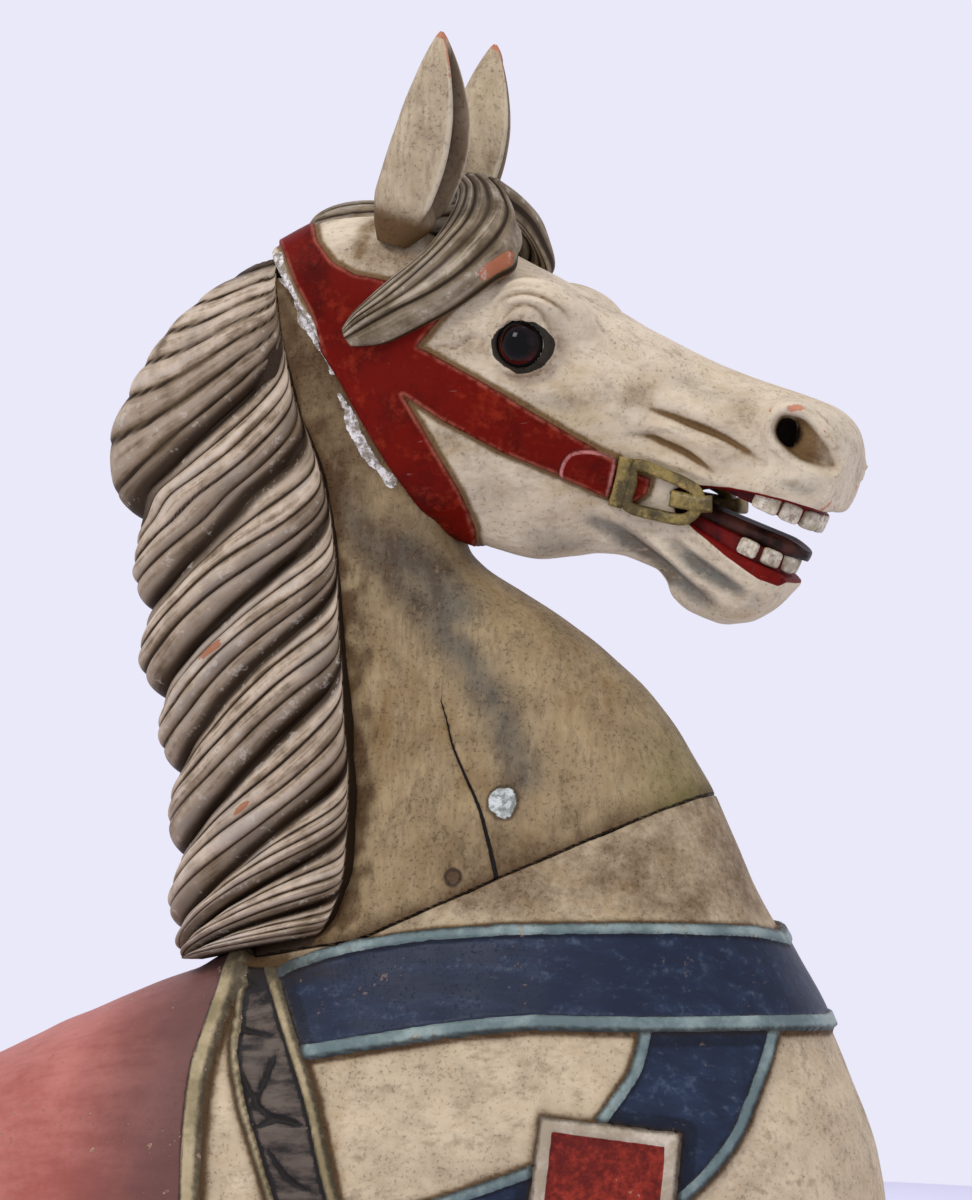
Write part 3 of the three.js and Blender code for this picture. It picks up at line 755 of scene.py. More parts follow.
@dataclass
class HeadForm:
    """Sections across the head's own axis: s runs along it and v square to it, from a point in the cheek."""

    height: float = 557.3
    tilt: float = math.radians(25)
    nose: float = 284
    nose_round: float = 24
    power: float = 2.5

    def __post_init__(self) -> None:
        """Sets out the profiles of the sections."""
        self.top = profile([
            (-150, 30), (-135, 52), (-108, 84), (-78, 101), (-42, 110), (0, 112), (60, 110), (88, 108),
            (126, 105), (157, 104), (187, 105), (216, 108), (245, 111), (268, 106), (291, 98),
        ])
        self.bottom = profile([
            (-150, -10), (-60, -40), (0, -66), (40, -74), (93, -69), (111, -65), (135, -52), (150, -43),
            (170, -37), (189, -36), (199, -40), (208, -48), (223, -52), (242, -51), (258, -44), (275, -30),
            (291, -22),
        ])
        self.half_width = profile([
            (-150, 38), (-120, 46), (-80, 52), (-40, 57), (0, 60), (45, 61), (90, 56), (126, 49), (160, 43),
            (190, 40), (250, 41), (291, 38),
        ])
        self.jaw_share = profile([(-150, 1), (0, 0.86), (90, 0.74), (160, 0.66), (291, 0.84)])

    def along(self, x: Array, z: Array) -> tuple[Array, Array]:
        """A point's s and v."""
        rise = z - self.height
        return (
            x * math.cos(self.tilt) - rise * math.sin(self.tilt),
            x * math.sin(self.tilt) + rise * math.cos(self.tilt),
        )

    def placed(self, s: Array, y: Array, v: Array) -> Array:
        """The point of the horse at s, y and v."""
        x = s * math.cos(self.tilt) + v * math.sin(self.tilt)
        z = self.height - s * math.sin(self.tilt) + v * math.cos(self.tilt)
        return np.stack(np.broadcast_arrays(x, y, z), axis=-1)

    def section(self, s: Array) -> tuple[Array, Array, Array]:
        """The middle and half height of a section, and its share of the width where the muzzle rounds off."""
        into = np.clip((s - self.nose + self.nose_round) / self.nose_round, 0, 1)
        closing = 0.35 + 0.65 * (1 - into**2.6) ** (1 / 2.6)
        top, bottom = self.top(s), self.bottom(s)
        return (top + bottom) / 2, (top - bottom) / 2 * (0.5 + 0.5 * closing), closing

    def narrow(self, s: Array, up: Array) -> Array:
        """The share of the width that is left at a height up the section, least at the jaw."""
        share = self.jaw_share(s)
        return share + (1 - share) * smoothstep(-1, 0.5, up)

    def width_at(self, s: Array, v: Array) -> Array:
        """Half width of the plain head at s and v."""
        middle, rise, closing = self.section(s)
        up = np.clip((v - middle) / rise, -1, 1)
        bulge = (1 - np.abs(up) ** self.power) ** (1 / self.power)
        return self.half_width(s) * closing * self.narrow(s, up) * bulge

    def skin(self, s: Array, y: Array, v: Array, cell: float) -> Array:
        """Distance to the plain head."""
        middle, rise, closing = self.section(s)
        up = (v - middle) / rise
        across = y / (self.half_width(s) * closing * self.narrow(s, up))
        level = (np.abs(up) ** self.power + across**self.power) ** (1 / self.power)
        return blend_max(scaled_distance(level - 1, cell), s - self.nose, 6)

    def on_side(self, u: Array, z: Array, rise: float) -> Array:
        """The point of the right side that is drawn at u and z, rise above the plain head."""
        y = np.full(np.shape(u), 50.0)
        for _ in range(8):
            x, _, height = np.moveaxis(undrawn(u, z, y), -1, 0)
            y = 0.5 * y + 0.5 * (self.width_at(*self.along(x, height)) + rise)
        return undrawn(u, z, y)


TRUNK = TrunkForm()
HEAD = HeadForm()


# ---- The breast block ----


@dataclass
class Breast:
    """The breast, withers and saddle front, with the harness carved on them."""

    cell: float = 2.4
    strap_rise: float = 3.0
    trim: float = 8.0
    saddle_trim: float = 12
    saddle_rise: float = 5.0
    girth_top: float = 178
    frame_width: float = 10
    frame_rise: float = 8

    def __post_init__(self) -> None:
        """Sets out the harness on the drawing plane."""
        self.band_top = profile([
            (-112, 171), (-87, 184), (-43, 197), (20, 205), (73, 207.5), (140, 208), (207, 206), (227, 203),
            (243, 198), (310, 196),
        ])
        self.band_bottom = profile([
            (-112, 112), (-85, 116), (-33, 124), (20, 132), (73, 136), (140, 135), (310, 137),
        ])
        self.saddle_edge = profile([
            (-20, -153), (24, -153), (71, -151), (104, -147), (137, -137), (167, -125), (200, -112),
        ])
        self.girth_left = profile([
            (-20, -97), (24, -109), (57, -119), (91, -129), (121, -133), (144, -130), (176, -124),
        ])
        self.girth_right = profile([(-20, -46), (24, -60), (91, -75), (131, -87), (176, -100)])
        self.swag_left = [
            (140, 138), (133, 111), (120, 91), (107, 74), (87, 57), (67, 47), (40, 37), (7, 26), (-30, 15),
            (-70, 4),
        ]
        self.swag_right = [
            (232, 138), (227, 117), (218, 91), (207, 64), (190, 41), (173, 24), (150, 4), (140, -10),
        ]
        self.plaque = [(74, 79), (167, 67), (158, -40), (62, -25)]
        self.quilting = [
            [(-144, 131), (-127, 136), (-99, 132)], [(-120, 69), (-100, 77), (-79, 71)],
            [(-140, 157), (-120, 137)], [(-132, 121), (-112, 84), (-87, 74)],
            [(-97, 131), (-112, 97), (-121, 77)], [(-112, 64), (-93, 37), (-67, 25)],
            [(-137, 157), (-120, 167), (-112, 160)],
        ]

    def distance(self, x: Array, y: Array, z: Array) -> Array:
        """Distance to the plain block."""
        body = blend_min(TRUNK.trunk(x, y, z, self.cell), TRUNK.barrel(x, y, z, self.cell), 10)
        return blend_max(body, TRUNK.neck_seam(x, z) + GLUE_GAP, 0.6)

    def harness(self, u: Array, z: Array) -> dict[str, Array]:
        """Distances inside each painted shape, in millimetres."""
        band = np.minimum(np.minimum(self.band_top(u) - z, z - self.band_bottom(u)), u - self.girth_right(z))
        upper, lower = z - self.band_top(u) + self.trim, self.band_bottom(u) + self.trim + 2 - z
        band_trim = np.minimum(band, np.maximum(upper, lower))
        girth = np.minimum(u - self.girth_left(z), self.girth_right(z) - u)
        girth = np.minimum(girth, self.girth_top - z)
        girth_trim = np.minimum(girth, u - self.girth_right(z) + self.trim)
        girth_trim = np.maximum(girth_trim, np.minimum(girth, self.girth_left(z) + 6 - u))
        saddle = self.saddle_edge(z) - u
        saddle_trim = np.minimum(saddle, u - self.saddle_edge(z) + self.saddle_trim)
        left, right = rounded(self.swag_left), rounded(self.swag_right)
        swag = inside_distance(u, z, np.concatenate([left, [(-70, -40), (140, -40)], right[::-1]]))
        near_left, _ = line_distance(u, z, left)
        near_right, _ = line_distance(u, z, right)
        swag = np.minimum(swag, -band)
        swag_trim = np.minimum(swag, self.trim - np.minimum(near_left, near_right))
        plaque = inside_distance(u, z, self.plaque)
        swag, swag_trim = np.minimum(swag, -plaque - 1), np.minimum(swag_trim, -plaque - 1)
        return {
            "navy": np.maximum(band, swag),
            "blue_trim": np.maximum(band_trim, swag_trim),
            "girth": girth,
            "olive_trim": np.maximum(girth_trim, saddle_trim),
            "saddle": saddle,
            "frame": plaque,
            "panel": plaque - self.frame_width,
        }

    def relief(self, u: Array, z: Array, shapes: dict[str, Array]) -> tuple[Array, Array]:
        """Height of the carving, and how much dirt its hollows hold."""
        height = self.strap_rise * edge_rise(shapes["navy"]) + 2.2 * edge_rise(shapes["blue_trim"])
        quilt = sum(Stroke(line, 2.6, 3.0).relief(u, z) for line in self.quilting)
        padding = self.strap_rise + 0.6 - np.clip(quilt, 0, 3.0)
        height = np.maximum(height, edge_rise(shapes["girth"]) * padding)
        height = np.maximum(height, self.saddle_rise * edge_rise(shapes["saddle"], 2.5))
        height += 2.0 * edge_rise(shapes["olive_trim"])
        moulding = np.minimum(shapes["frame"], self.frame_width - shapes["frame"])
        height += self.frame_rise * edge_rise(shapes["frame"], 2) + 2.5 * edge_rise(moulding, 2)
        hollow = np.zeros(u.shape)
        for name, reach, strength in (
            ("navy", 3.5, 0.9), ("girth", 4, 0.9), ("saddle", 5, 0.9), ("frame", 4, 0.9),
            ("blue_trim", 1.8, 0.6), ("olive_trim", 2, 0.9),
        ):
            hollow = np.maximum(hollow, bell(shapes[name], reach) * strength)
        hollow = np.maximum(hollow, np.clip(quilt / 3.0, 0, 0.9) ** 3 * edge_rise(shapes["girth"]))
        return height, hollow

    def build(self) -> Piece:
        """Carves and paints the block."""
        low, high = np.array([REAR - 9, -156, -9.0]), np.array([314, 156, 300.0])
        shell = sawn(skin_of(self.distance, low, high, self.cell), REAR, 0)
        x, _, level = shell.points.T
        behind, below = x < REAR + 0.01, level < 0.01
        cut = (below | behind).astype(float)
        normal = shell.normals()
        normal[behind, 0] = 0
        normal[below, 2] = 0
        normal[-1] = 0
        u, z = drawn(shell.points)
        shapes = self.harness(u, z)
        height, hollow = self.relief(u, z, shapes)
        seam = np.abs(TRUNK.neck_seam(x, level))
        height += 0.4 * waviness(shell.points, 45, 3) - 0.4 * bell(seam, 1.5)
        # painted shadow on the breast under the mane's lower edge, and the breast darker towards its top
        mane_shadow = 0.9 * patch(u, z, (-105, 178), (60, 16))
        above_band = 0.44 * smoothstep(190, 225, z)
        hollow = np.maximum.reduce([hollow, 0.4 * bell(seam, 14), mane_shadow, above_band])
        shell.points = np.maximum(shell.points + normal * height[:, None], [REAR, -999, 0])
        none = np.zeros(len(x))
        shell.layers = shapes | {
            "hollow": hollow * (1 - cut), "cut": cut, "seam": seam,
            "wear": 0.8 * bell(u - 170, 22) * bell(seam, 8), "smoke": none, "gesso": none, "soot": none,
        }
        return shell.build("breast_carving", HarnessPaint().material())


@dataclass(frozen=True)
class HarnessPaint:
    """Ivory, with navy and black straps, pale trims, a rubbed red saddle, a red plaque and sawn wood."""

    ivory: OldPaint = OldPaint(light=srgb("D4C29F"), dark=srgb("A0875F"))
    glue: Colour = srgb("1C130B")
    girth: Colour = srgb("1F1C1A")
    # painted highlight on the raised pads of the girth
    girth_pad_highlight: Colour = srgb("6A5D50")
    saddle: Tones = tones("9C5347", "BA7669")
    saddle_wear: Colour = srgb("6B231A")
    saddle_shade: Colour = srgb("553E38")
    navy: Colour = srgb("1B2334")
    navy_sheen: Colour = srgb("2A3C55")
    navy_chalk: Colour = srgb("6A7683")
    navy_shade: Colour = srgb("0A0C12")
    olive: Tones = tones("857855", "B3A27C")
    blue: Tones = tones("5F706D", "8C9C95")
    trim_wear: Colour = srgb("B0A98F")
    frame: Tones = tones("A09279", "D6CAB2")
    panel: Tones = tones("5A140C", "96301F")
    dirt: Colour = srgb("1E150D")
    scuff: Colour = srgb("B99A80")
    sawn_wood: Tones = tones("967650", "A98A61")
    old_wood: Colour = srgb("74583A")

    def material(self) -> Finish:
        """Makes the material from the layers that Breast stores."""
        paint, relief = self.ivory.start("breast_paint", 0.6, (0.5, 1.0, 0.8))
        blotch, fine = paint.noise(24, 6, 0.65), paint.noise(170, 5, 0.7)
        cloud, grain = paint.noise(7, 5, 0.6), paint.noise(110, 6, 0.65, (0.16, 1.0, 0.8))
        seam = (paint.layer("seam") + 1.4 * (fine - 0.5)).step(1.2, 0.4)
        paint.coat(self.glue, seam * 0.8)
        girth, _ = edge_of(paint, "girth")
        paint.coat(self.girth, girth)
        # painted highlight on the girth's pads, in grainy patches and out of their hollows
        pad_highlight = (grain + 0.6 * blotch - 0.7 * paint.layer("hollow")).step(0.6, 0.9)
        paint.coat(self.girth_pad_highlight, girth * pad_highlight * 0.8)
        saddle, inside = edge_of(paint, "saddle")
        mottle = (0.6 * cloud + 0.25 * grain + 0.15 * fine).step(0.38, 0.62)
        shade = (inside + 60 * (cloud - 0.5) + 12 * (grain - 0.5)).step(105, 15)
        paint.coat(paint.mixed(mottle, *self.saddle), saddle)
        paint.coat(self.saddle_wear, saddle * (0.4 * grain + 0.6 * fine).step(0.54, 0.68) * 0.3)
        paint.coat(self.saddle_shade, saddle * shade * 0.85)
        navy, inside = edge_of(paint, "navy")
        paint.coat(self.navy, navy)
        paint.coat(self.navy_sheen, navy * (0.7 * grain + 0.3 * cloud).step(0.4, 0.66) * 0.4)
        paint.coat(self.navy_chalk, navy * (0.4 * grain + 0.6 * fine).step(0.52, 0.68) * 0.3)
        paint.coat(self.navy_shade, navy * (inside + 3 * (fine - 0.5)).step(11.5, 8.5) * 0.6)
        olive, _ = edge_of(paint, "olive_trim")
        blue, _ = edge_of(paint, "blue_trim")
        mottle = blotch.step(0.4, 0.65)
        paint.coat(paint.mixed(mottle, *self.olive), olive)
        paint.coat(paint.mixed(mottle, *self.blue), blue)
        trims = (blue + olive).least(1.0)
        paint.coat(self.trim_wear, trims * (0.5 * blotch + 0.6 * fine).step(0.62, 0.72) * 0.6)
        frame, _ = edge_of(paint, "frame")
        panel, _ = edge_of(paint, "panel")
        paint.coat(paint.mixed(mottle, *self.frame), frame)
        paint.coat(paint.mixed((0.5 * blotch + 0.5 * fine).step(0.42, 0.62), *self.panel), panel)
        painted = (girth + saddle + navy + trims + frame).least(1.0)
        # dark where the layer is high: dirt in the hollows, and painted shadow under the mane
        dirt = (paint.layer("hollow") + 0.7 * (fine - 0.5)).step(0.3, 0.9) * (0.35 + 0.6 * painted)
        paint.coat(self.dirt, dirt * 0.85)
        scuff = (0.7 * fine + 0.5 * blotch).step(0.72, 0.76)
        paint.coat(self.scuff, painted * scuff * (1 - 0.7 * navy) * 0.6)
        rings = paint.noise(3.2, 2, 0.5) + 0.02 * fine
        wood = paint.mixed(paint.maths("SINE", rings * 420).step(-0.9, 1.0), *self.sawn_wood)
        wood = paint.mixed(blotch.step(0.4, 0.7) * 0.5, wood, self.old_wood)
        paint.coat(wood, paint.layer("cut").step(0.55, 0.9))
        height = relief * (1 - 0.6 * painted) + 0.2 * painted * grain - 0.6 * scuff * painted - 1.5 * seam
        rough = 0.66 - 0.14 * painted - 0.1 * navy + 0.2 * (fine - 0.5)
        return paint.close(rough, height, 0.0006, shine=0.16)


# ---- The neck and its mane ----


@dataclass
class Neck:
    """The neck block between the two glue lines, with its crack, knot and plug."""

    cell: float = 2.1
    top: float = 638
    plug_at: Pair = (49, 289)
    knot_at: Pair = (15, 239)

    def distance(self, x: Array, y: Array, z: Array) -> Array:
        """Distance to the plain block."""
        neck = blend_max(TRUNK.trunk(x, y, z, self.cell), -1.0 - TRUNK.neck_seam(x, z), 0.6)
        behind = np.minimum(TRUNK.head_seam(x, z) + GLUE_GAP, z - TRUNK.throat[1] + 12)
        return np.maximum(blend_max(neck, behind, 1.2), z - self.top)

    def build(self) -> Piece:
        """Carves and paints the block."""
        shell = skin_of(self.distance, np.array([-160, -96, 176.0]), np.array([236, 96, 656.0]), self.cell)
        normal = shell.normals()
        x, _, level = shell.points.T
        u, z = drawn(shell.points)
        split = rounded([(7, 357), (11, 343), (15, 327), (24, 305), (33, 284), (40, 257), (45, 234)])
        crack, along = line_distance(u, z, split)
        side = np.sign(u - np.interp(z, split[::-1, 1], split[::-1, 0]))
        open_crack = bell(crack, 0.6 + 1.1 * along)
        plug = np.hypot(u - self.plug_at[0], (z - self.plug_at[1]) * 0.9)
        plug = plug + 0.8 * waviness(shell.points, 9, 21)
        knot = np.hypot((u - self.knot_at[0]) * 1.15, z - self.knot_at[1])
        knot = knot + 0.5 * waviness(shell.points, 8, 22)
        seam = np.abs(TRUNK.neck_seam(x, level))
        head_seam = np.abs(TRUNK.head_seam(x, level))
        muscle = Stroke([(-36, 500), (-10, 440), (20, 390), (50, 340), (70, 280)], 16, -2.4).relief(u, z)
        muscle += Stroke([(20, 440), (60, 395), (100, 350), (140, 290)], 26, 2.5).relief(u, z)
        height = muscle + 0.5 * waviness(shell.points, 50, 5) - 1.6 * open_crack
        height += 0.6 * smoothstep(10, 8, plug) - 1.0 * bell(knot, 5)
        height -= 0.4 * bell(seam, 1.5)
        shell.points = shell.points + normal * height[:, None]
        # lines of grey shading down a furrow of the neck and under the jaw, partly painted shade
        smoke = near_line(u, z, [(-62, 492), (-37, 458), (-10, 428), (16, 395), (45, 350), (62, 305)])
        throat = near_line(u, z, [(-20, 455), (0, 440), (15, 420)])
        filler = near_line(u, z, FILLER_LINE)
        lower = near_line(u, z, [(-60, 560), (-51, 539), (-41, 521), (-27, 503)])
        torn = 2.4 * waviness(shell.points, 30, 43)
        mane_edge = x - MANE.front(level)
        ragged_edge = mane_edge + 9 * waviness(shell.points, 20, 41)
        # dirt along the seams, the crack, the plug and the knot; painted shade along the mane's edge; and
        # darker towards the mane high on the neck
        hollow = np.maximum.reduce([
            0.55 * bell(seam, 10), 0.8 * open_crack, smoothstep(22, 0, ragged_edge) * 0.7,
            0.35 * bell(plug, 20), 0.8 * bell(knot, 7),
            bell(head_seam, 9) * smoothstep(470, 510, z) * 0.7,
            0.5 * smoothstep(110, 20, mane_edge) * smoothstep(330, 560, z),
            0.5 * patch(u, z, (60, 250), (50, 30)),
        ])
        shell.layers = {
            "smoke": np.maximum(1.1 * bell(smoke, 17), 1.3 * bell(throat, 22)),
            "hollow": hollow,
            "gesso": np.maximum(smoothstep(5, 1, filler + torn), smoothstep(5.5, 1.5, lower + torn)),
            "soot": np.zeros(len(x)),
            "wear": 0.4 * bell(seam, 7) * (1 + bell(u - 170, 22)),
            # painted shadow where the neck runs under the mane
            "under": smoothstep(0.5, -2.0, mane_edge),
            "seam": seam,
            "crack": side * crack / (0.35 + 1.25 * along),
            "plug": plug,
            "knot": knot,
            "moss": patch(u, z, (165, 300), (24, 40)),
        }
        return shell.build("neck_wood", NeckPaint().material())


@dataclass(frozen=True)
class NeckPaint:
    """The dirtiest of the ivory paint, with a band of grey shading that is partly painted shade, painted
    shadow under the mane's edge, an olive tint low in front and a filled hole.
    """

    ivory: OldPaint = OldPaint(light=srgb("B49F77"), dark=srgb("7B633E"), grime_and_shade=srgb("48321A"))
    moss: Colour = srgb("77703F")
    plug_rim: Colour = srgb("3A2C1C")
    plug: Tones = tones("7C8278", "CDD2CB")
    knot_rim: Colour = srgb("33261A")
    knot: Colour = srgb("57432C")
    crack: Colour = srgb("0A0705")
    glue: Colour = srgb("120C07")
    # colour of the painted shadow under the mane's edge
    mane_shadow: Colour = srgb("2E2113")

    def material(self) -> Finish:
        """Makes the material from the layers that Neck stores."""
        paint, relief = self.ivory.start("neck_paint", 0.9, (1.0, 1.0, 0.22))
        blotch, fine = paint.noise(60, 5, 0.65), paint.noise(190, 5, 0.7)
        paint.coat(self.moss, paint.layer("moss") * (0.5 + 0.6 * (blotch - 0.5)))
        seam = (paint.layer("seam") + 1.6 * (fine - 0.5)).step(1.2, 0.3)
        plug, knot = paint.layer("plug"), paint.layer("knot")
        paint.coat(self.plug_rim, (plug + 5 * (blotch - 0.5)).step(12.5, 10.0) * 0.75)
        paint.coat(paint.mixed(fine.step(0.42, 0.6), *self.plug), (plug + 9 * (blotch - 0.5)).step(9.5, 8.6))
        paint.coat(self.knot_rim, (knot + 3 * (fine - 0.5)).step(8.0, 6.0) * 0.9)
        paint.coat(self.knot, (knot + 2 * (fine - 0.5)).step(5.0, 4.0) * 0.75)
        split = abs(paint.layer("crack") + 0.9 * (fine - 0.5)).step(1.1, 0.7)
        paint.coat(self.crack, split)
        paint.coat(self.glue, seam * 0.95)
        # painted shadow where the neck runs under the mane
        paint.coat(self.mane_shadow, paint.layer("under"))
        height = relief - 2.5 * split - 1.5 * seam
        return paint.close(0.62 + 0.2 * (fine - 0.5), height, 0.0007, shine=0.16)


@dataclass
class Mane:
    """A fall of twisted locks behind the neck, the same on both sides.

    The grid's rows follow the strands. A row leaves the neck at its own height and falls as it goes round to
    the back, by drop(height) times 0.42 share ** 0.4 + 0.58 share ** 1.55, where share is how far back it has
    come. A lock is a rounded ridge across the rows with deep furrows beside it, and has a few strands with
    sharp grooves between.
    """

    rows: int = 530
    half_columns: int = 84
    power: float = 2.4
    lock_depth: float = 13.0
    strand_depth: float = 3.6

    def __post_init__(self) -> None:
        """Sets out the outline and the way that the locks fall."""
        self.front = profile([
            (170, -70), (204, -52), (217, -44), (250, -36), (290, -36), (344, -41), (397, -46), (451, -50),
            (504, -60), (557, -80), (610, -92), (654, -98),
        ])
        self.back = profile([
            (170, -158), (182, -165), (217, -176), (257, -177), (304, -180), (347, -189), (387, -200),
            (444, -204), (475, -208), (500, -223), (525, -223), (567, -206), (597, -189), (620, -169),
            (640, -143), (654, -116),
        ])
        self.half_width = profile([
            (170, 84), (217, 84), (250, 79), (290, 71), (344, 63), (451, 53), (557, 47), (620, 43),
            (640, 39), (654, 28),
        ])
        self.drop = profile([
            (204, 22), (233, 50), (278, 92), (323, 124), (388, 138), (444, 139), (490, 134), (546, 131),
            (604, 127), (630, 62), (655, 4),
        ])
        self.lock_of = profile([
            (204, 9.0), (233, 8), (278, 7), (323, 6), (388, 5), (444, 4), (490, 3), (546, 2), (604, 1),
            (655, 0.05),
        ])

    def build(self) -> Piece:
        """Carves and paints the mane."""
        root = np.linspace(204.5, 654, self.rows)[:, None]
        step = np.linspace(0, 1, self.half_columns)[None, :]
        share = (1 - np.cos(np.pi * step)) / 2
        height = root - self.drop(root) * (0.42 * share**0.4 + 0.58 * share**1.55)
        height = np.maximum(height, 179 + 6 * share)
        lock = self.lock_of(root) + 0 * share
        index = np.floor(lock)
        place = lock - index
        strands = np.choose(np.minimum(index, 9).astype(int), [8, 5, 4, 4, 4, 4, 4, 4, 4, 3])
        ridge = np.sin(np.pi * place**1.25) ** 0.6
        drift = 0.9 * (share - 0.5) + 0.16 * np.sin(7 * share + index * 1.7)
        phase = strands * place + drift * np.sin(np.pi * place) + 0.12 * np.sin(index * 3 + 4 * share)
        wave = np.abs(np.sin(np.pi * phase))
        uneven = 1 + 0.35 * np.sin(np.floor(phase) * 2.1 + index)
        start = smoothstep(0.0, 0.12, share)
        relief = self.lock_depth * (ridge - 0.85) * (0.3 + 0.7 * start)
        relief = relief + self.strand_depth * uneven * (wave**0.42 - 0.9) * (0.4 + 0.6 * start)
        relief = relief + 0.5 * np.sin(31 * share + index * 2.1 + 2 * np.floor(phase)) * wave
        front, back, width = self.front(height), self.back(height), self.half_width(height)
        edge = (1 - share**self.power) ** (1 / self.power)
        x = front - (front - back + relief) * share
        y = (width + relief) * edge
        tuck = np.array([[18.0, 10.0, 3.0]])
        tuck_x = front[:, :1] + np.array([[6.0, 3.0, 1.0]])
        tuck_y = (width + relief)[:, :1] - tuck
        tucked = np.stack([tuck_x, -tuck_y, root + 0 * tuck], axis=-1)
        near = np.concatenate([tucked, np.stack([x, -y, height], axis=-1)], axis=1)
        far = near[:, -2::-1] * [1, -1, 1]
        grid = np.concatenate([near, far], axis=1)
        u, z = drawn(near[:, 3:])
        bare = np.exp(-(((u + 147 + 0.4 * (z - 391)) / 15) ** 2) - (((z - 391) - 0.7 * (u + 147)) / 5.5) ** 2)
        bare = np.maximum(bare, np.exp(-(((u + 126) / 9) ** 2) - (((z - 285) - 0.8 * (u + 126)) / 4) ** 2))

        def round_back(values: Array, tucked_value: float) -> Array:
            """One side's values, led by those of its tucked edge, and then the other side's in return."""
            side = np.concatenate([np.full((self.rows, 3), tucked_value), values], axis=1)
            return np.concatenate([side, side[:, -2::-1]], axis=1)

        shade = smoothstep(0.4, 1.0, place) + 0.4 * smoothstep(0.25, 0.0, share)
        layers = {
            # the grooves between strands and the furrows between locks, which the paint darkens as shade
            "groove": round_back(np.exp(-wave / 0.22), 1.0),
            "furrow": round_back(smoothstep(0.78, 0.25, ridge), 1.0),
            "strand": round_back(phase * 1.3 + index * 3.1, 0.0),
            "run": round_back(share + 0 * lock, 0.0),
            "bare": round_back(bare, 0.0),
            "shade": round_back(shade + 0.25 * np.sin(np.floor(phase) * 2.7 + index), 1.0),
        }
        shell = tube_shell(grid, layers)
        return shell.build("mane", HAIR.material("mane_paint"))


@dataclass(frozen=True)
class Hair:
    """Grey-brown paint on carved hair: pale rubbed crests with painted highlights, painted shade in its
    grooves, furrows and under each lock, and a few bare red-brown spots.
    """

    crest: Colour = srgb("C6B196")
    body: Colour = srgb("63533D")
    slate: Colour = srgb("777877")
    # colour of the painted shade in the grooves between strands
    groove: Colour = srgb("22160A")
    warm: Colour = srgb("7F5B38")
    bare: Colour = srgb("99562F")
    shade: Colour = srgb("423019")
    # dark brown of the painted shade in the deep furrows between locks
    furrow: Colour = srgb("2E1F0F")
    # painted highlight along the strand crests
    crest_highlight: Colour = srgb("D2C6B2")
    rub: Colour = srgb("C6BCAB")
    speck: Colour = srgb("2A2018")

    def material(self, name: str) -> Finish:
        """Makes the material.

        Args:
            name: its name.
        Returns:
            The material, which reads the layers groove, furrow, strand, run, shade and bare.
        """
        paint = Paint(name)
        groove, strand, run = paint.layer("groove"), paint.layer("strand"), paint.layer("run")
        vector = paint.node("ShaderNodeCombineXYZ", None, {0: strand, 1: run * 1.1, 2: 0.0}).outputs[0]
        inputs = {"Vector": vector, "Scale": 2.4, "Detail": 6.0, "Roughness": 0.62}
        tuft = Value(paint, paint.node("ShaderNodeTexNoise", None, inputs).outputs[0])
        cloud, fine, rubbed = paint.noise(14, 5, 0.6), paint.noise(210, 5, 0.7), paint.noise(60, 6, 0.65)
        tone = 0.45 * tuft + 0.3 * rubbed + 0.3 * cloud
        paint.ground(self.body, self.crest, (tone - 0.25 * groove).step(0.38, 0.6))
        paint.coat(self.slate, (0.6 * tuft + 0.5 * cloud).step(0.54, 0.68) * 0.55)
        paint.coat(self.warm, (0.5 * cloud + 0.4 * tuft + 0.3 * groove).step(0.52, 0.75) * 0.5)
        shade, furrow = paint.layer("shade"), paint.layer("furrow")
        dusk = 0.7 * shade + 0.6 * (rubbed - 0.5) + 0.5 * (tuft - 0.5)
        paint.coat(self.shade, dusk.step(0.05, 0.8) * 0.68)
        # painted shade in the deep furrows between locks and in the grooves between strands
        paint.coat(self.furrow, (furrow + 0.5 * (rubbed - 0.5)).step(0.25, 0.95) * 0.9)
        paint.coat(self.groove, (groove + 0.3 * (fine - 0.5)).step(0.22, 0.68) * 0.9)
        # painted highlight on the strand crests that are out of the furrows and the shade
        crest_highlight = groove.step(0.07, 0.012) * (1 - furrow).most(0.0) * (1.2 - shade).most(0.0)
        paint.coat(self.crest_highlight, crest_highlight * (0.6 * tuft + 0.4 * rubbed).step(0.42, 0.64) * 0.35)
        spot = (0.5 * paint.layer("bare") + 0.6 * rubbed + 0.35 * tuft - 0.25 * groove).step(0.78, 0.82)
        paint.coat(self.bare, spot * 0.8)
        rub = (0.6 * fine + 0.5 * rubbed - 0.6 * groove).step(0.58, 0.68)
        paint.coat(self.rub, rub * 0.5)
        paint.coat(self.speck, (0.7 * fine + 0.4 * rubbed).step(0.68, 0.74) * 0.5)
        relief = 0.3 * fine + 0.5 * rubbed - 0.5 * spot
        return paint.close(0.6 + 0.2 * (fine - 0.5), relief, 0.0006, shine=0.14)


MANE = Mane()
HAIR = Hair()


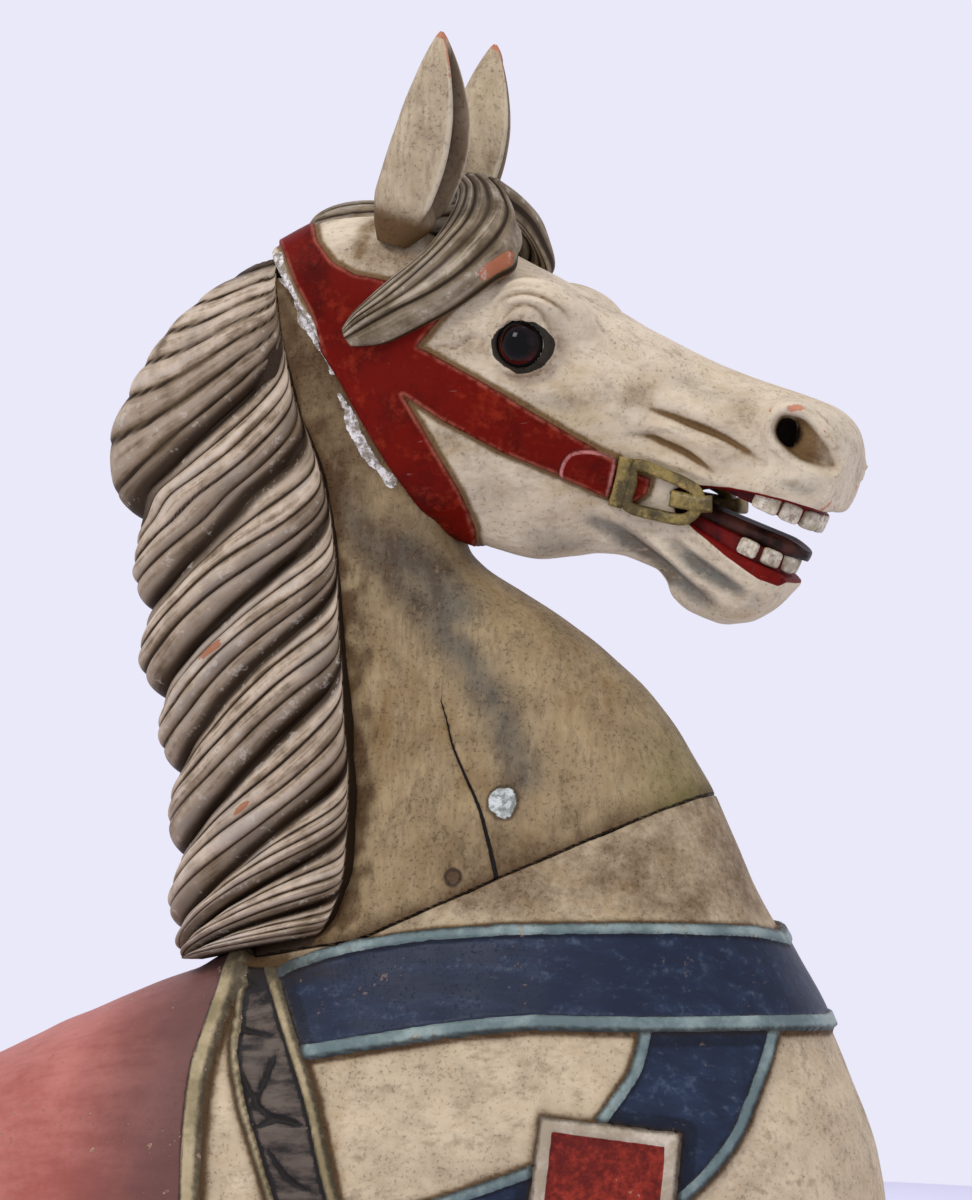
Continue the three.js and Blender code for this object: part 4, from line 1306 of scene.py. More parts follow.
@dataclass
class Forelock:
    """The tuft between the ears: each half is a fan of strands drawn through four guide strands.

    A place on the fan is a share along and a share across the guides. It is raised along the fan's normal by
    a rounded section, with a sharp groove between each two strands, and the fan thins to its tip.
    """

    rows: int = 130
    columns: int = 130
    strands: int = 5
    thick: float = 11.0

    def guides(self) -> list[Array]:
        """The guide strands, from the inner edge to the outer, as points of the right side."""
        drawing = [
            [(14, 699, 6), (18, 691, 18), (13, 678, 34), (0, 658, 47), (-15, 645, 53), (-31, 633, 57),
             (-49, 617, 59), (-58, 606, 58)],
            [(25, 700, 2), (31.5, 690, 16), (29, 674, 36), (16, 658, 51), (-4, 640, 59), (-25, 624, 62),
             (-47, 611, 62), (-57.5, 603, 59)],
            [(38, 698, 2), (47, 687, 15), (50.5, 674, 32), (43, 660, 48), (27, 644, 58), (5, 629, 63),
             (-23, 616, 64), (-56, 599, 59)],
            [(43, 696, 2), (55, 681, 18), (58, 663, 34), (57, 647, 46), (43, 638, 55), (18, 620, 62),
             (-5, 607, 64), (-31, 595, 62), (-52, 593, 57)],
        ]
        lines = []
        for line in drawing:
            u, z, y = rounded(line, 10).T
            lines.append(resampled(undrawn(u, z, y), self.rows))
        return lines

    def build(self) -> Piece:
        """Carves and paints both halves and the tuft under them."""
        angle = lap(self.columns)[0]
        share = (1 - np.cos(angle)) / 2
        ribs = np.stack([rounded(rib, 16) for rib in np.stack(self.guides(), axis=1)])
        place = share * (ribs.shape[1] - 1)
        low = np.minimum(place.astype(int), ribs.shape[1] - 2)
        rest = (place - low)[None, :, None]
        fan = ribs[:, low] * (1 - rest) + ribs[:, low + 1] * rest
        along = np.gradient(fan.mean(axis=1), axis=0)
        out = np.cross(ribs[:, -1] - ribs[:, 0], along)
        out /= np.linalg.norm(out, axis=1)[:, None]
        out *= np.sign((out * [0.3, -1, 0.4]).sum(axis=1))[:, None]
        t = np.linspace(0, 1, self.rows)[:, None]
        phase = self.strands * share**0.92 + 1.6 * np.sin(angle)
        wave = np.abs(np.sin(np.pi * phase)) + 0 * t
        body = self.thick * (1 - 0.5 * t**2) * smoothstep(1.05, 0.88, t) ** 0.5
        bulge = np.abs(np.sin(angle)) ** 0.45
        strand = 3.4 * (wave**0.45 - 0.85) * bulge * smoothstep(1.0, 0.9, t)
        height = np.sign(np.sin(angle)) * (bulge * body + strand)
        grid = fan + out[:, None] * height[..., None]
        layers = {
            "groove": 1.1 * np.exp(-wave / 0.24),
            "furrow": 0 * wave,
            "strand": phase * 1.3 + 0 * t,
            "bare": patch(t, share, (0.42, 0.93), (0.1, 0.12)),
            "run": t + 0 * share,
            "shade": 0.35 * smoothstep(0.2, 0.0, t) + 0.3 + 0.25 * np.sin(np.floor(phase) * 2.7),
        }
        shell = together(both_sides(tube_shell(grid, layers)), self.tuft((22, 664), (40, 34, 27)))
        shell = together(shell, self.tuft((-44, 671), (40, 24, 20)))
        darker = Hair(crest=srgb("96866C"), body=srgb("50432F"), warm=srgb("6E5030"), bare=srgb("A8603F"))
        return shell.build("forelock", darker.material("forelock_paint"))

    def tuft(self, centre: Pair, radii: Place) -> Shell:
        """Hair swept back over the poll: an ellipsoid with grooves from front to back.

        Args:
            centre: its x and z.
            radii: its half sizes.
        Returns:
            The skin.
        """
        turn = lap(110)
        rise = np.linspace(0, np.pi, 60)[1:-1, None]
        wave = np.abs(np.sin(6.5 * turn + 0.6 * np.sin(2 * rise)))
        wave = 1 - (1 - wave) * smoothstep(0.25, 0.7, np.sin(rise))
        reach = 1 + 0.09 * (wave**0.5 - 0.8)
        x = centre[0] - radii[0] * np.cos(rise) * reach
        y = radii[1] * np.sin(rise) * np.sin(turn) * reach
        z = centre[1] + radii[2] * np.sin(rise) * np.cos(turn) * reach
        grid = np.stack(np.broadcast_arrays(x, y, z), -1)
        layers = {
            "groove": 1.1 * np.exp(-wave / 0.26), "strand": turn * 3.0 + 0 * rise, "furrow": 0 * wave,
            "run": rise + 0 * turn, "shade": 0.4 + 0 * wave, "bare": 0 * wave,
        }
        return tube_shell(grid, layers)


# ---- The head ----


@dataclass
class Head:
    """The head block with its open mouth, nostrils, brows and creases, and the red headstall carved on it."""

    cell: float = 1.7
    strap_rise: float = 3.2

    def __post_init__(self) -> None:
        """Sets out the carving, on the master drawing or along the head's axis."""
        self.mouth = np.array([
            (186, 17), (194, 25), (223, 36), (255, 43), (277, 46), (320, 48), (320, -90), (256, -54),
            (264, -41), (272, -27), (276, -14), (277, -3), (252, -1), (221, 2), (194, 7),
        ], float)
        self.headstall = [
            (-100, 662), (-106, 672), (-92, 690), (-76, 696), (-78, 680), (-74, 662), (-64, 649), (-50, 641),
            (-25, 636), (10, 650), (30, 640), (13, 618), (-8, 593), (33, 571), (73, 547), (113, 524),
            (125, 519), (119, 493), (87, 507), (47, 523), (7, 544), (-17, 560), (0, 531), (20, 497),
            (31, 473), (33, 448), (-30, 470), (-42, 508), (-52, 534), (-58, 558), (-69, 584), (-78, 614),
            (-89, 634),
        ]
        tab = [(126, 521), (108, 525), (94, 523), (87, 512), (90, 501), (104, 495), (119, 491)]
        self.tab = rounded(tab, 4)
        self.strokes = [Stroke(*row) for row in [
            ([(45, 604), (50, 615), (59, 621), (70, 619), (79, 609), (84, 599)], 2.0, -2.6),
            ([(43, 608), (48, 619), (59, 624.5), (72, 622.5), (83, 612), (88, 601)], 1.8, 1.8),
            ([(40, 614), (44, 622), (51, 627), (63, 629.5), (75, 627), (84, 621), (91, 613),
              (94, 601)], 2.2, -2.8),
            ([(40, 619), (47, 628), (62, 632.5), (77, 630), (88, 622), (95, 611)], 2.0, 1.4),
            ([(41, 626), (53, 633.5), (67, 634), (83, 628), (93, 616), (98, 604)], 2.3, -2.2),
            ([(42, 632), (55, 639), (70, 639), (87, 633), (99, 618)], 2.6, 1.0),
            ([(40, 585), (48, 574), (60, 569), (74, 571), (86, 581)], 3.0, -1.6),
            ([(-4, 591), (7, 593), (17, 592.5), (27, 599), (33, 597.5), (40, 594)], 1.9, -2.6),
            ([(10, 597), (20, 598), (27, 604), (35, 602)], 2.4, 1.4),
            ([(84, 590), (92, 583), (98, 575)], 2.6, -1.6),
            ([(139, 554), (155, 549), (173, 542), (197, 532), (222, 516)], 2.9, -5.2),
            ([(148, 560), (165, 555), (185, 546), (207, 534)], 3.4, 1.8),
            ([(133, 533), (145, 533), (157, 528), (173, 520), (192, 506)], 2.8, -5.0),
            ([(138, 542), (157, 539), (177, 530), (202, 515)], 3.2, 2.6),
            ([(131, 525), (153, 518), (180, 508), (202, 498)], 2.6, 1.8),
            ([(102, 478), (120, 471), (140, 457), (160, 441), (180, 424), (196, 416)], 5.0, -5.5),
            ([(108, 488), (130, 479), (150, 463), (172, 444), (190, 430)], 3.8, 2.8),
            ([(160, 463), (173, 451), (190, 439), (203, 431), (213, 424)], 4.4, -5.0),
            ([(165, 475), (185, 461), (205, 447), (222, 436)], 3.4, 2.2),
            ([(60, 560), (90, 548), (120, 545), (150, 560)], 14, 1.8),
            ([(108, 590), (150, 575), (190, 560)], 12, -2.4),
            ([(283, 556), (289, 540), (283, 512), (275, 492)], 3.0, -1.2),
        ]]
        self.nostril = rounded([
            (235, 549), (250, 546), (261, 535), (268, 524), (272, 512), (262, 511), (249, 515), (238, 522),
            (230, 531), (228.5, 540),
        ], 4, closed=True)
        self.shade_lines = [
            ([(98, 481), (120, 471), (140, 457), (160, 441), (180, 424), (197, 415)], 7.0, 1.7),
            ([(158, 464), (173, 451), (190, 439), (205, 430), (213, 424)], 6.0, 1.7),
            ([(55, 470), (85, 461), (110, 466)], 13, 0.75), ([(140, 585), (200, 558), (225, 560)], 12, 0.45),
            ([(60, 562), (85, 556), (110, 552)], 8, 0.6), ([(225, 505), (250, 499), (270, 503)], 8, 0.75),
            ([(180, 500), (215, 498)], 6, 0.45), ([(100, 560), (125, 548), (150, 522)], 7, 0.4),
            ([(205, 418), (225, 425)], 9, 0.6), ([(276, 540), (284, 520), (276, 500)], 5, 0.6),
        ]
        self.strap_end = [(119, 519), (134, 511), (148, 505), (145, 495), (136, 489), (119, 493)]
        self.low_lip = [
            (166, 480), (183, 488), (205, 470), (232, 450), (252, 452), (252, 440), (241, 437), (232, 433),
            (219, 438), (197, 454), (176, 471),
        ]
        self.grime_spots = [
            ((0, 575), (30, 14), 0.35), ((28, 590), (24, 12), 0.4), ((100, 560), (26, 12), 0.4),
            ((62, 575), (26, 12), 0.42), ((20, 530), (24, 18), 0.5), ((50, 500), (30, 16), 0.35),
            ((88, 596), (12, 14), 0.38), ((-30, 655), (34, 18), 0.5), ((208, 545), (18, 18), 0.4),
            ((140, 560), (20, 14), 0.4), ((195, 520), (26, 12), 0.35), ((-10, 672), (30, 14), 0.45),
            ((85, 480), (24, 14), 0.3), ((62, 612), (18, 10), 0.2), ((215, 470), (20, 12), 0.2),
        ]

    def distance(self, x: Array, y: Array, z: Array) -> Array:
        """Distance to the block, from rounded unions and cuts of simple forms along the head's axis."""
        s, v = HEAD.along(x, z)
        head = HEAD.skin(s, y, v, self.cell)
        for centre, radii, blend in (
            ((60, 44, 90), (34, 22, 20), 10),  # brow
            ((56, 45, 66), (25, 14, 19), 8),  # lids
            ((14, 36, -18), (58, 24, 50), 14),  # cheek
            ((247, 29, 86), (30, 18, 23), 9),  # wing of the nostril
            ((260, 20, 60), (26, 24, 20), 10),  # upper lip
        ):
            head = blend_min(head, ellipsoid(s, y, v, centre, radii), blend)
        head = blend_max(head, -ellipsoid(s, y, v, (100, 62, 84), (34, 12, 16)), 12)
        around = np.hypot(s - EYES.along, v - EYES.across)
        lid = np.hypot(around - 18.5, y - 58) - 4.2
        head = blend_min(head, lid, 4)
        u, height = drawn(np.stack([x, y, z], axis=-1))
        inside = inside_distance(u, height, self.nostril)
        pit = patch(u, height, (237, 535), (8.5, 9))
        dish = 8.5 * smoothstep(-1.0, 5, inside) * (1 - 0.6 * smoothstep(252, 272, u))
        dish = dish + 26 * pit * smoothstep(0, 5, inside)
        rim = 3.4 * bell(inside + 3.8, 3.4) * (0.5 + 0.5 * smoothstep(515, 540, height))
        head = head + (dish - rim) * smoothstep(14, 24, y)
        mouth = inside_distance(s, v, rounded(self.mouth, 3, closed=True))
        head = blend_max(head, mouth, 3.0)
        eye = np.sqrt((s - EYES.along) ** 2 + (v - EYES.across) ** 2 + (y - EYES.side) ** 2)
        head = blend_max(head, EYES.radius + 0.3 - eye, 1.5)
        return blend_max(head, GLUE_GAP - TRUNK.head_seam(x, z), 1.2)

    def carving(self, u: Array, z: Array) -> Array:
        """Height of all the furrows and ridges on the drawing."""
        return sum(stroke.relief(u, z) for stroke in self.strokes)

    def build(self) -> Piece:
        """Carves and paints the block."""
        shell = skin_of(self.distance, np.array([-112, -72, 402.0]), np.array([302, 72, 702.0]), self.cell)
        normal = shell.normals()
        x, y, level = shell.points.T
        s, v = HEAD.along(x, level)
        u, z = drawn(shell.points)
        toward = np.abs(normal[:, 1]) * math.cos(DRAW_YAW) + normal[:, 0] * math.sin(DRAW_YAW)
        facing = smoothstep(0.0, 0.3, toward) * smoothstep(4, 14, np.abs(y))
        red = inside_distance(u, z, self.headstall)
        red = np.maximum(red, inside_distance(u, z, self.strap_end))
        tab = inside_distance(u, z, self.tab)
        carved = self.carving(u, z) * smoothstep(4, -2, red) * facing * smoothstep(0.24, 0.45, toward)
        height = self.strap_rise * smoothstep(-0.9, 0.9, red) + 2.4 * smoothstep(-1, 1, tab)
        height += carved + 0.3 * waviness(shell.points, 38, 9)
        rough = bell(np.hypot(u - 64, (z - 606) * 1.2), 22) * facing
        height += rough * (0.5 * waviness(shell.points, 7, 31) + 0.3 * waviness(shell.points, 4, 32))
        shell.points = shell.points + normal * height[:, None]
        nostril = inside_distance(u, z, self.nostril)
        # grey shading along the shade lines: partly airbrushed paint, partly painted shade in the creases and
        # under the jaw
        smoke = np.zeros(len(x))
        for line, reach, strength in self.shade_lines:
            away, share = line_distance(u, z, rounded(line))
            taper = np.sin(np.pi * np.clip(share, 0.03, 0.97)) ** 0.6
            smoke = np.maximum(smoke, strength * taper * bell(away, reach))
        furrows = -sum(stroke.relief(u, z) for stroke in self.strokes if stroke.width < 10) * facing
        ear_root = np.hypot(x + 10, np.abs(y) - 47)
        # dirt in the carved furrows and along the straps, painted shade in the nostril, and darker round the
        # roots of the ears
        hollow = np.maximum.reduce([
            np.clip(furrows / 3.6, 0, 1.0) ** 1.5 * (1 - 0.85 * np.clip(smoke, 0, 1)),
            0.9 * bell(red + 0.8, 3.0),
            0.85 * bell(tab + 0.6, 1.3) * (red > 0),
            smoothstep(0.0, 3.5, nostril) * (0.95 - 0.45 * smoothstep(246, 268, u)) * facing,
            0.6 * bell(ear_root - 24, 9) * smoothstep(640, 655, level),
        ])
        for centre, reach, strength in self.grime_spots:
            hollow = np.maximum(hollow, strength * patch(u, z, centre, reach) * smoothstep(2, -2, red))
        outside_lids = self.beyond_lids(u, z)
        # painted shade in the deepest part of the nostril
        pit = patch(u, z, (238, 535), (9.5, 10)) * smoothstep(1, 4, nostril)
        filler = near_line(u, z, FILLER_LINE)
        filler = smoothstep(5, 2, filler + 3 * waviness(shell.points, 30, 44)) * smoothstep(0.5, -0.5, red)
        bare = near_line(u, z, [(226, 551), (232, 545), (237, 551), (252, 550), (262, 538), (268, 528)])
        lip_wear = near_line(u, z, [(242, 487), (262, 484), (275, 503), (277, 512)])
        inside_mouth = np.minimum(inside_distance(s, v, self.mouth) + 2.0, v + 5)
        low_lip = inside_distance(u, z, self.low_lip)
        shell.layers = {
            "red": red,
            "tab": tab,
            "hollow": hollow,
            "smoke": smoke * facing,
            # black eye rims, and painted shade in the nostril pit
            "soot": np.maximum(smoothstep(0.9, -0.9, outside_lids) * facing, 1.6 * pit * facing),
            "gesso": 0.9 * filler,
            "wear": 1.1 * bell(np.minimum(bare, lip_wear), 3.5) + 0.6 * rough,
            "gum": np.maximum(inside_mouth, np.where(facing > 0.2, low_lip, -9)),
            # painted shade at the back of the open mouth
            "deep": smoothstep(212, 190, s) * smoothstep(-1, 1.5, inside_mouth),
            "eyelid": smoothstep(6, 1.5, outside_lids) * smoothstep(-0.5, 1.5, outside_lids) * facing,
        }
        return shell.build("head_carving", HeadPaint().material())

    def beyond_lids(self, u: Array, z: Array) -> Array:
        """Distance outside the blackened rim of the eye, a circle drawn out at its corners and below."""
        across, up = u - EYES.drawn_at[0], z - EYES.drawn_at[1]
        turn = np.arctan2(up, across)
        rim = 17.6 + 4.0 * np.abs(np.cos(turn)) ** 6 + 1.6 * np.clip(-np.sin(turn), 0, 1)
        rim = rim - 1.2 * np.clip(np.sin(turn), 0, 1) ** 3
        return np.hypot(across, up) - (rim + (0.35 * np.sin(7 * turn + 1) + 0.2 * np.sin(13 * turn)))


@dataclass(frozen=True)
class HeadPaint:
    """The cleanest ivory, a deep red headstall with rubbed pink edges, a red mouth with painted shade at its
    back, and blackened eye rims.
    """

    ivory: OldPaint = OldPaint(
        light=srgb("DBCDB2"), dark=srgb("B09A74"), grime_and_shade=srgb("6A4F2D"), smoke=srgb("4A5556")
    )
    eyelid: Colour = srgb("6E4A36")
    red: Colour = srgb("640B02")
    red_shade: Colour = srgb("300602")
    red_light: Colour = srgb("8E2A14")
    rubbed_edge: Colour = srgb("B0604A")
    tab_edge: Colour = srgb("C07F76")
    scratch: Colour = srgb("B98578")
    gum: Colour = srgb("6E120C")
    gum_shade: Colour = srgb("35090A")
    gum_wear: Colour = srgb("A04A3A")
    # near black, painted as shade at the back of the mouth
    throat: Colour = srgb("0A0504")
    strap_dirt: Colour = srgb("1D110B")

    def material(self) -> Finish:
        """Makes the material from the layers that Head stores."""
        paint, relief = self.ivory.start("head_paint", 0.5, (0.3, 1.0, 0.8))
        blotch, fine = paint.noise(26, 6, 0.65), paint.noise(190, 5, 0.7)
        grain = paint.noise(90, 6, 0.65, (0.4, 1.0, 0.6))
        paint.coat(self.eyelid, paint.layer("eyelid") * (0.6 * fine + 0.5 * blotch).step(0.52, 0.68) * 0.5)
        red, inside_red = edge_of(paint, "red", 0.7)
        _, inside_tab = edge_of(paint, "tab", 0.4)
        paint.coat(self.red, red)
        paint.coat(self.red_shade, red * (0.6 * blotch + 0.4 * grain).step(0.44, 0.64) * 0.75)
        paint.coat(self.red_light, red * (0.6 * grain + 0.4 * fine).step(0.5, 0.64) * 0.6)
        rubbed = inside_red.step(3.8, 0.5) * (0.5 * blotch + 0.6 * fine).step(0.42, 0.64)
        paint.coat(self.rubbed_edge, red * rubbed * 0.85)
        tab_edge = abs(inside_tab - 1.2).step(1.6, 0.5) * (0.5 * blotch + 0.6 * fine).step(0.4, 0.6)
        paint.coat(self.tab_edge, tab_edge * red * 0.85)
        scratch = paint.noise(130, 4, 0.6, (0.35, 0.35, 1.6)).step(0.68, 0.74)
        paint.coat(self.scratch, red * scratch * 0.3)
        gum, _ = edge_of(paint, "gum", 0.5)
        paint.coat(self.gum, gum)
        paint.coat(self.gum_shade, gum * (0.6 * blotch + 0.4 * fine).step(0.45, 0.65) * 0.6)
        paint.coat(self.gum_wear, gum * (0.7 * fine + 0.4 * grain).step(0.62, 0.7) * 0.4)
        # painted shade deep in the mouth
        paint.coat(self.throat, paint.layer("deep").step(0.2, 0.9) * 0.95)
        dirt = (paint.layer("hollow") + 0.6 * (fine - 0.5)).step(0.35, 0.95)
        paint.coat(self.strap_dirt, dirt * red * 0.8)
        height = relief - 0.4 * rubbed - 0.4 * scratch * red
        return paint.close(0.52 + 0.2 * (fine - 0.5) - 0.05 * red, height, 0.0005, shine=0.06)


@dataclass
class Eyes:
    """A pair of glass eyes, placed along the head's axis."""

    along: float = 57
    across: float = 65
    side: float = 52
    radius: float = 17
    drawn_at: Pair = (61.9, 594.0)

    def build(self, side: Side) -> Piece:
        """One ball of dark glass, in rings about the line that it looks along.

        Args:
            side: which eye.
        Returns:
            The finished eye.
        """
        turn = lap(72)
        rise = np.linspace(0, np.pi, 48)[1:-1, None]
        y = side.value * (self.side + self.radius * np.cos(rise)) + 0 * turn
        s = self.along + self.radius * np.sin(rise) * np.cos(turn)
        v = self.across + self.radius * np.sin(rise) * np.sin(turn)
        layers = {"off": np.degrees(rise) + 0 * turn, "turn": turn + 0 * rise}
        shell = tube_shell(HEAD.placed(s, y, v), layers)
        return shell.build(f"{side.word}_glass_eye", EyeGlass().material(f"{side.word}_eye_glass"))


@dataclass(frozen=True)
class EyeGlass:
    """Black pupil in a very dark brown iris whose reddish outer ring shows only along its lower side, as
    painted light through the glass; polished, in a putty rim.
    """

    iris: Tones = tones("0E0504", "170806")
    pupil: Colour = srgb("020202")
    # reddish iris ring, the eye's own colour, painted only on the lower side as light through the glass
    ring: Colour = srgb("4A0E08")
    putty: Colour = srgb("0B0908")

    def material(self, name: str) -> Finish:
        """Makes the material, which reads the degrees off the line of sight and the turn round it."""
        paint = Paint(name)
        off, ray = paint.layer("off"), paint.noise(240, 3, 0.6)
        paint.ground(*self.iris, ray)
        paint.coat(self.pupil, off.step(36, 28))
        # the ring only along the lower side: painted light through the glass
        low = paint.maths("SINE", paint.layer("turn")).step(0.3, -0.7)
        paint.coat(self.ring, (off + 10 * (ray - 0.5)).step(34, 50) * low * 0.8)
        putty = (off + 5 * (ray - 0.5)).step(52, 54)
        paint.coat(self.putty, putty)
        return paint.close(0.05 + 0.6 * putty, None, shine=0.14)


EYES = Eyes()


@dataclass
class Ears:
    """A pair of pricked ears, each a leaf scooped out towards the front and a little outwards.

    A point of the skin is a share t along the ear's bowed middle line and an angle round it. The section is
    an ellipse that the scoop pushes in wherever the angle faces the opening, which leaves two thin rims.
    """

    base: Place = (-13, 46, 660)
    tip: Place = (27, 64, 798)
    breadth: float = 25.5
    thickness: float = 18
    bow: float = 9
    opening: float = 0.13

    def build(self, side: Side) -> Piece:
        """One ear, in rings along its middle line.

        Args:
            side: which ear.
        Returns:
            The finished ear.
        """
        size = profile([
            (0, 0.4), (0.1, 0.72), (0.24, 0.97), (0.4, 1), (0.6, 0.9), (0.8, 0.6), (0.97, 0.17), (1, 0.05),
        ])
        base, tip = np.array(self.base) * [1, side.value, 1], np.array(self.tip) * [1, side.value, 1]
        axis = (tip - base) / np.linalg.norm(tip - base)
        forward = np.array([1.0, 0, 0]) - axis * axis[0]
        forward /= np.linalg.norm(forward)
        outside = np.cross(axis, forward) * side.value
        t = np.linspace(0, 1, 130)[:, None]
        angle = lap(140)
        front = np.cos(angle - self.opening)
        cup = smoothstep(0.7, 0.9, front) * smoothstep(0.1, 0.3, t) * smoothstep(0.99, 0.8, t)
        rim = bell(front - 0.66, 0.09) * smoothstep(0.06, 0.25, t)
        reach = (1 - 0.74 * cup) * (1 + 0.1 * rim) + 0.012 * np.sin(6 * t + 2 * angle)
        line = base + (tip - base) * t[..., None] + forward * (self.bow * np.sin(np.pi * t))[..., None]
        fuller = 1 + 0.14 * (np.cos(angle) > 0)
        across = (self.breadth * size(t) * reach * np.cos(angle) * fuller)[..., None]
        thick = (self.thickness * size(t) * reach * np.sin(angle))[..., None]
        grid = line + forward * across + outside * thick
        hollow = 0.8 * cup * smoothstep(0.9, 0.5, front + 0.2 * t)
        layers = {
            "cup": cup,
            "inside": smoothstep(0.67, 0.74, front) * smoothstep(0.08, 0.2, t) * smoothstep(1.0, 0.9, t),
            "rim": rim,
            "rise": t + 0 * angle,
            "hollow": hollow + 0.95 * smoothstep(0.2, 0.05, t) + 0.15 * smoothstep(0.6, 0.2, t),
            # grey shading on the back of the upper ear, partly painted shade
            "smoke": 0.25 * smoothstep(0.3, 0.9, t) * smoothstep(0.2, -0.6, front),
            "gesso": 0 * cup,
            "soot": 0 * cup,
            "wear": 0.6 * rim * smoothstep(0.4, 0.8, t) + 0.8 * smoothstep(0.95, 1, t),
        }
        shell = tube_shell(grid, layers)
        return shell.build(f"{side.word}_ear_carving", EarPaint().material(f"{side.word}_ear_paint"))


@dataclass(frozen=True)
class EarPaint:
    """Dirty ivory outside, brown in the cup, and rubbed to the pink ground along the rim and at the tip."""

    ivory: OldPaint = OldPaint(light=srgb("CBBB9C"), dark=srgb("927E5D"))
    inside: Colour = srgb("5A4630")
    cup: Colour = srgb("33241A")
    rim: Colour = srgb("BFB49C")
    bare: Colour = srgb("B0694A")

    def material(self, name: str) -> Finish:
        """Makes the material from the layers that Ears stores."""
        paint, relief = self.ivory.start(name, 0.8, (1.0, 1.0, 0.18))
        fine, blotch = paint.noise(180, 5, 0.7), paint.noise(50, 5, 0.6)
        cup, rim, rise = paint.layer("cup"), paint.layer("rim"), paint.layer("rise")
        paint.coat(self.inside, paint.layer("inside") * (0.75 + 0.9 * (blotch - 0.5)))
        paint.coat(self.cup, cup * (0.75 + 0.9 * (blotch - 0.5)))
        paint.coat(self.rim, (rim + 0.9 * (blotch - 0.5)).step(0.5, 0.8) * 0.6)
        worn = rim * rise.step(0.5, 0.95) + 1.3 * rise.step(0.93, 1.0)
        worn = worn + 0.9 * (fine - 0.5) + 1.2 * (blotch - 0.5)
        paint.coat(self.bare, worn.step(0.75, 0.95) * 0.8)
        return paint.close(0.62, relief, 0.0006, shine=0.14)


# ---- The mouth's teeth and tongue, and the buckle ----


def soft_box(s: Pair, y: Pair, v: Pair, turn: float) -> Shell:
    """A rounded block in the head's axes: the surface where the sum of |side| ** 5 is 1.

    Args:
        s: its middle and half size along the head.
        y: the same across it.
        v: the same square to it.
        turn: its turn in plan, in radians.
    Returns:
        The skin.
    """
    turned = lap(40)
    rise = np.linspace(-np.pi / 2, np.pi / 2, 22)[1:-1, None]
    power = 2 / 5
    a = s[1] * squarish(np.cos(rise), power) * squarish(np.cos(turned), power)
    b = y[1] * squarish(np.cos(rise), power) * squarish(np.sin(turned), power)
    c = v[1] * squarish(np.sin(rise), power) + 0 * turned
    along = s[0] + a * math.cos(turn) - b * math.sin(turn)
    across = y[0] + a * math.sin(turn) + b * math.cos(turn)
    return tube_shell(HEAD.placed(along, across, v[0] + c))


@dataclass
class Mouth:
    """Teeth on red gums, and the tongue between them."""

    upper_half: float = 32
    lower_half: float = 28.5
    upper_teeth: Pair = (38.2, 6.4)
    lower_teeth: Pair = (5.5, 5.6)

    def gum(self, low: float, high: float, back: float, front: float, half: float) -> Shell:
        """A ledge with a round front, carried up in rings that narrow a little at its lips."""
        turn = np.linspace(-np.pi / 2, np.pi / 2, 40)
        arc = np.stack([front - half + half * np.cos(turn), half * np.sin(turn)], 1)
        plan = np.concatenate([[(back, -half)], arc, [(back, half)]])
        plan = resampled(np.concatenate([plan, plan[:1]]), 140)[:-1]
        level = np.linspace(0, 1, 14)
        shrink = 2.2 * (1 - np.sqrt(1 - (2 * level - 1) ** 2 * 0.98))
        middle = np.array([front - half, 0])
        away = plan - middle
        away = away / np.maximum(np.linalg.norm(away, axis=1), 1)[:, None]
        rings = plan[None] - away[None] * shrink[:, None, None]
        v = low + (high - low) * level[:, None] + 0 * rings[..., 0]
        return tube_shell(HEAD.placed(rings[..., 0], rings[..., 1], v))

    def teeth(self, middle: float, v: Pair, half: float, places: Sequence[float], size: float) -> Shell:
        """Blocks set round a half circle in front of its middle, and along its straight sides."""
        blocks = []
        for place in places:
            for side in (-1, 1):
                if place <= 90:
                    turn = math.radians(place)
                    s, y, face = middle + half * math.sin(turn), half * math.cos(turn), math.pi / 2 - turn
                else:
                    s, y, face = middle - (place - 90), half, math.pi / 2
                blocks.append(soft_box((s, 3.2), (side * y, size), v, side * face))
        return together(*blocks)

    def build(self) -> list[Piece]:
        """The gums, the teeth and the tongue."""
        upper_gum = self.gum(33, 52, 206, 278, self.upper_half)
        gums = together(upper_gum, self.gum(-6, 10, 200, 273, self.lower_half))
        half = self.upper_half - 0.4
        upper = self.teeth(246, self.upper_teeth, half, (4, 31, 60, 92), 7.0)
        front = self.teeth(246, self.upper_teeth, half, (81,), 4.7)
        lower = self.teeth(244.5, self.lower_teeth, self.lower_half - 0.4, (4, 38, 72), 6.8)
        brown = MouthPaint(light=srgb("4A2A22"), dark=srgb("1C0F0B"))
        return [
            gums.build("gums", MouthPaint().material("gum_paint")),
            together(upper, front, lower).build("teeth", ToothPaint().material()),
            self.tongue().build("tongue", brown.material("tongue_paint")),
        ]

    def tongue(self) -> Shell:
        """A flat tongue, dished along its middle, whose tip rises to the front."""
        t = np.linspace(0, 1, 60)[:, None]
        turn = lap(60)
        wide = 23 * np.sqrt(np.clip(1 - (np.maximum(t - 0.72, 0) / 0.285) ** 2, 0, 1)) + 0.5
        s = 188 + 92 * t
        middle = 11 + 5 * t
        thick = 7.2 * (1 - 0.35 * smoothstep(0.8, 1, t))
        y = wide * squarish(np.cos(turn), 0.7)
        dish = -2.5 * bell(y, 9) * (np.sin(turn) > 0)
        v = middle + thick * squarish(np.sin(turn), 0.8) + dish
        return tube_shell(HEAD.placed(s + 0 * turn, y, v))


@dataclass(frozen=True)
class MouthPaint:
    """Worn paint inside the mouth, red unless it is given other colours."""

    light: Colour = srgb("6E120C")
    dark: Colour = srgb("35090A")
    worn: Colour = srgb("8E4436")

    def material(self, name: str) -> Finish:
        """Makes the material."""
        paint = Paint(name)
        blotch, fine = paint.noise(40, 5, 0.65), paint.noise(200, 4, 0.7)
        paint.ground(self.dark, self.light, blotch.step(0.35, 0.6))
        paint.coat(self.worn, (0.7 * fine + 0.3 * blotch).step(0.6, 0.7) * 0.4)
        return paint.close(0.42, 0.6 * fine + 0.3 * blotch, 0.0004, shine=0.12)


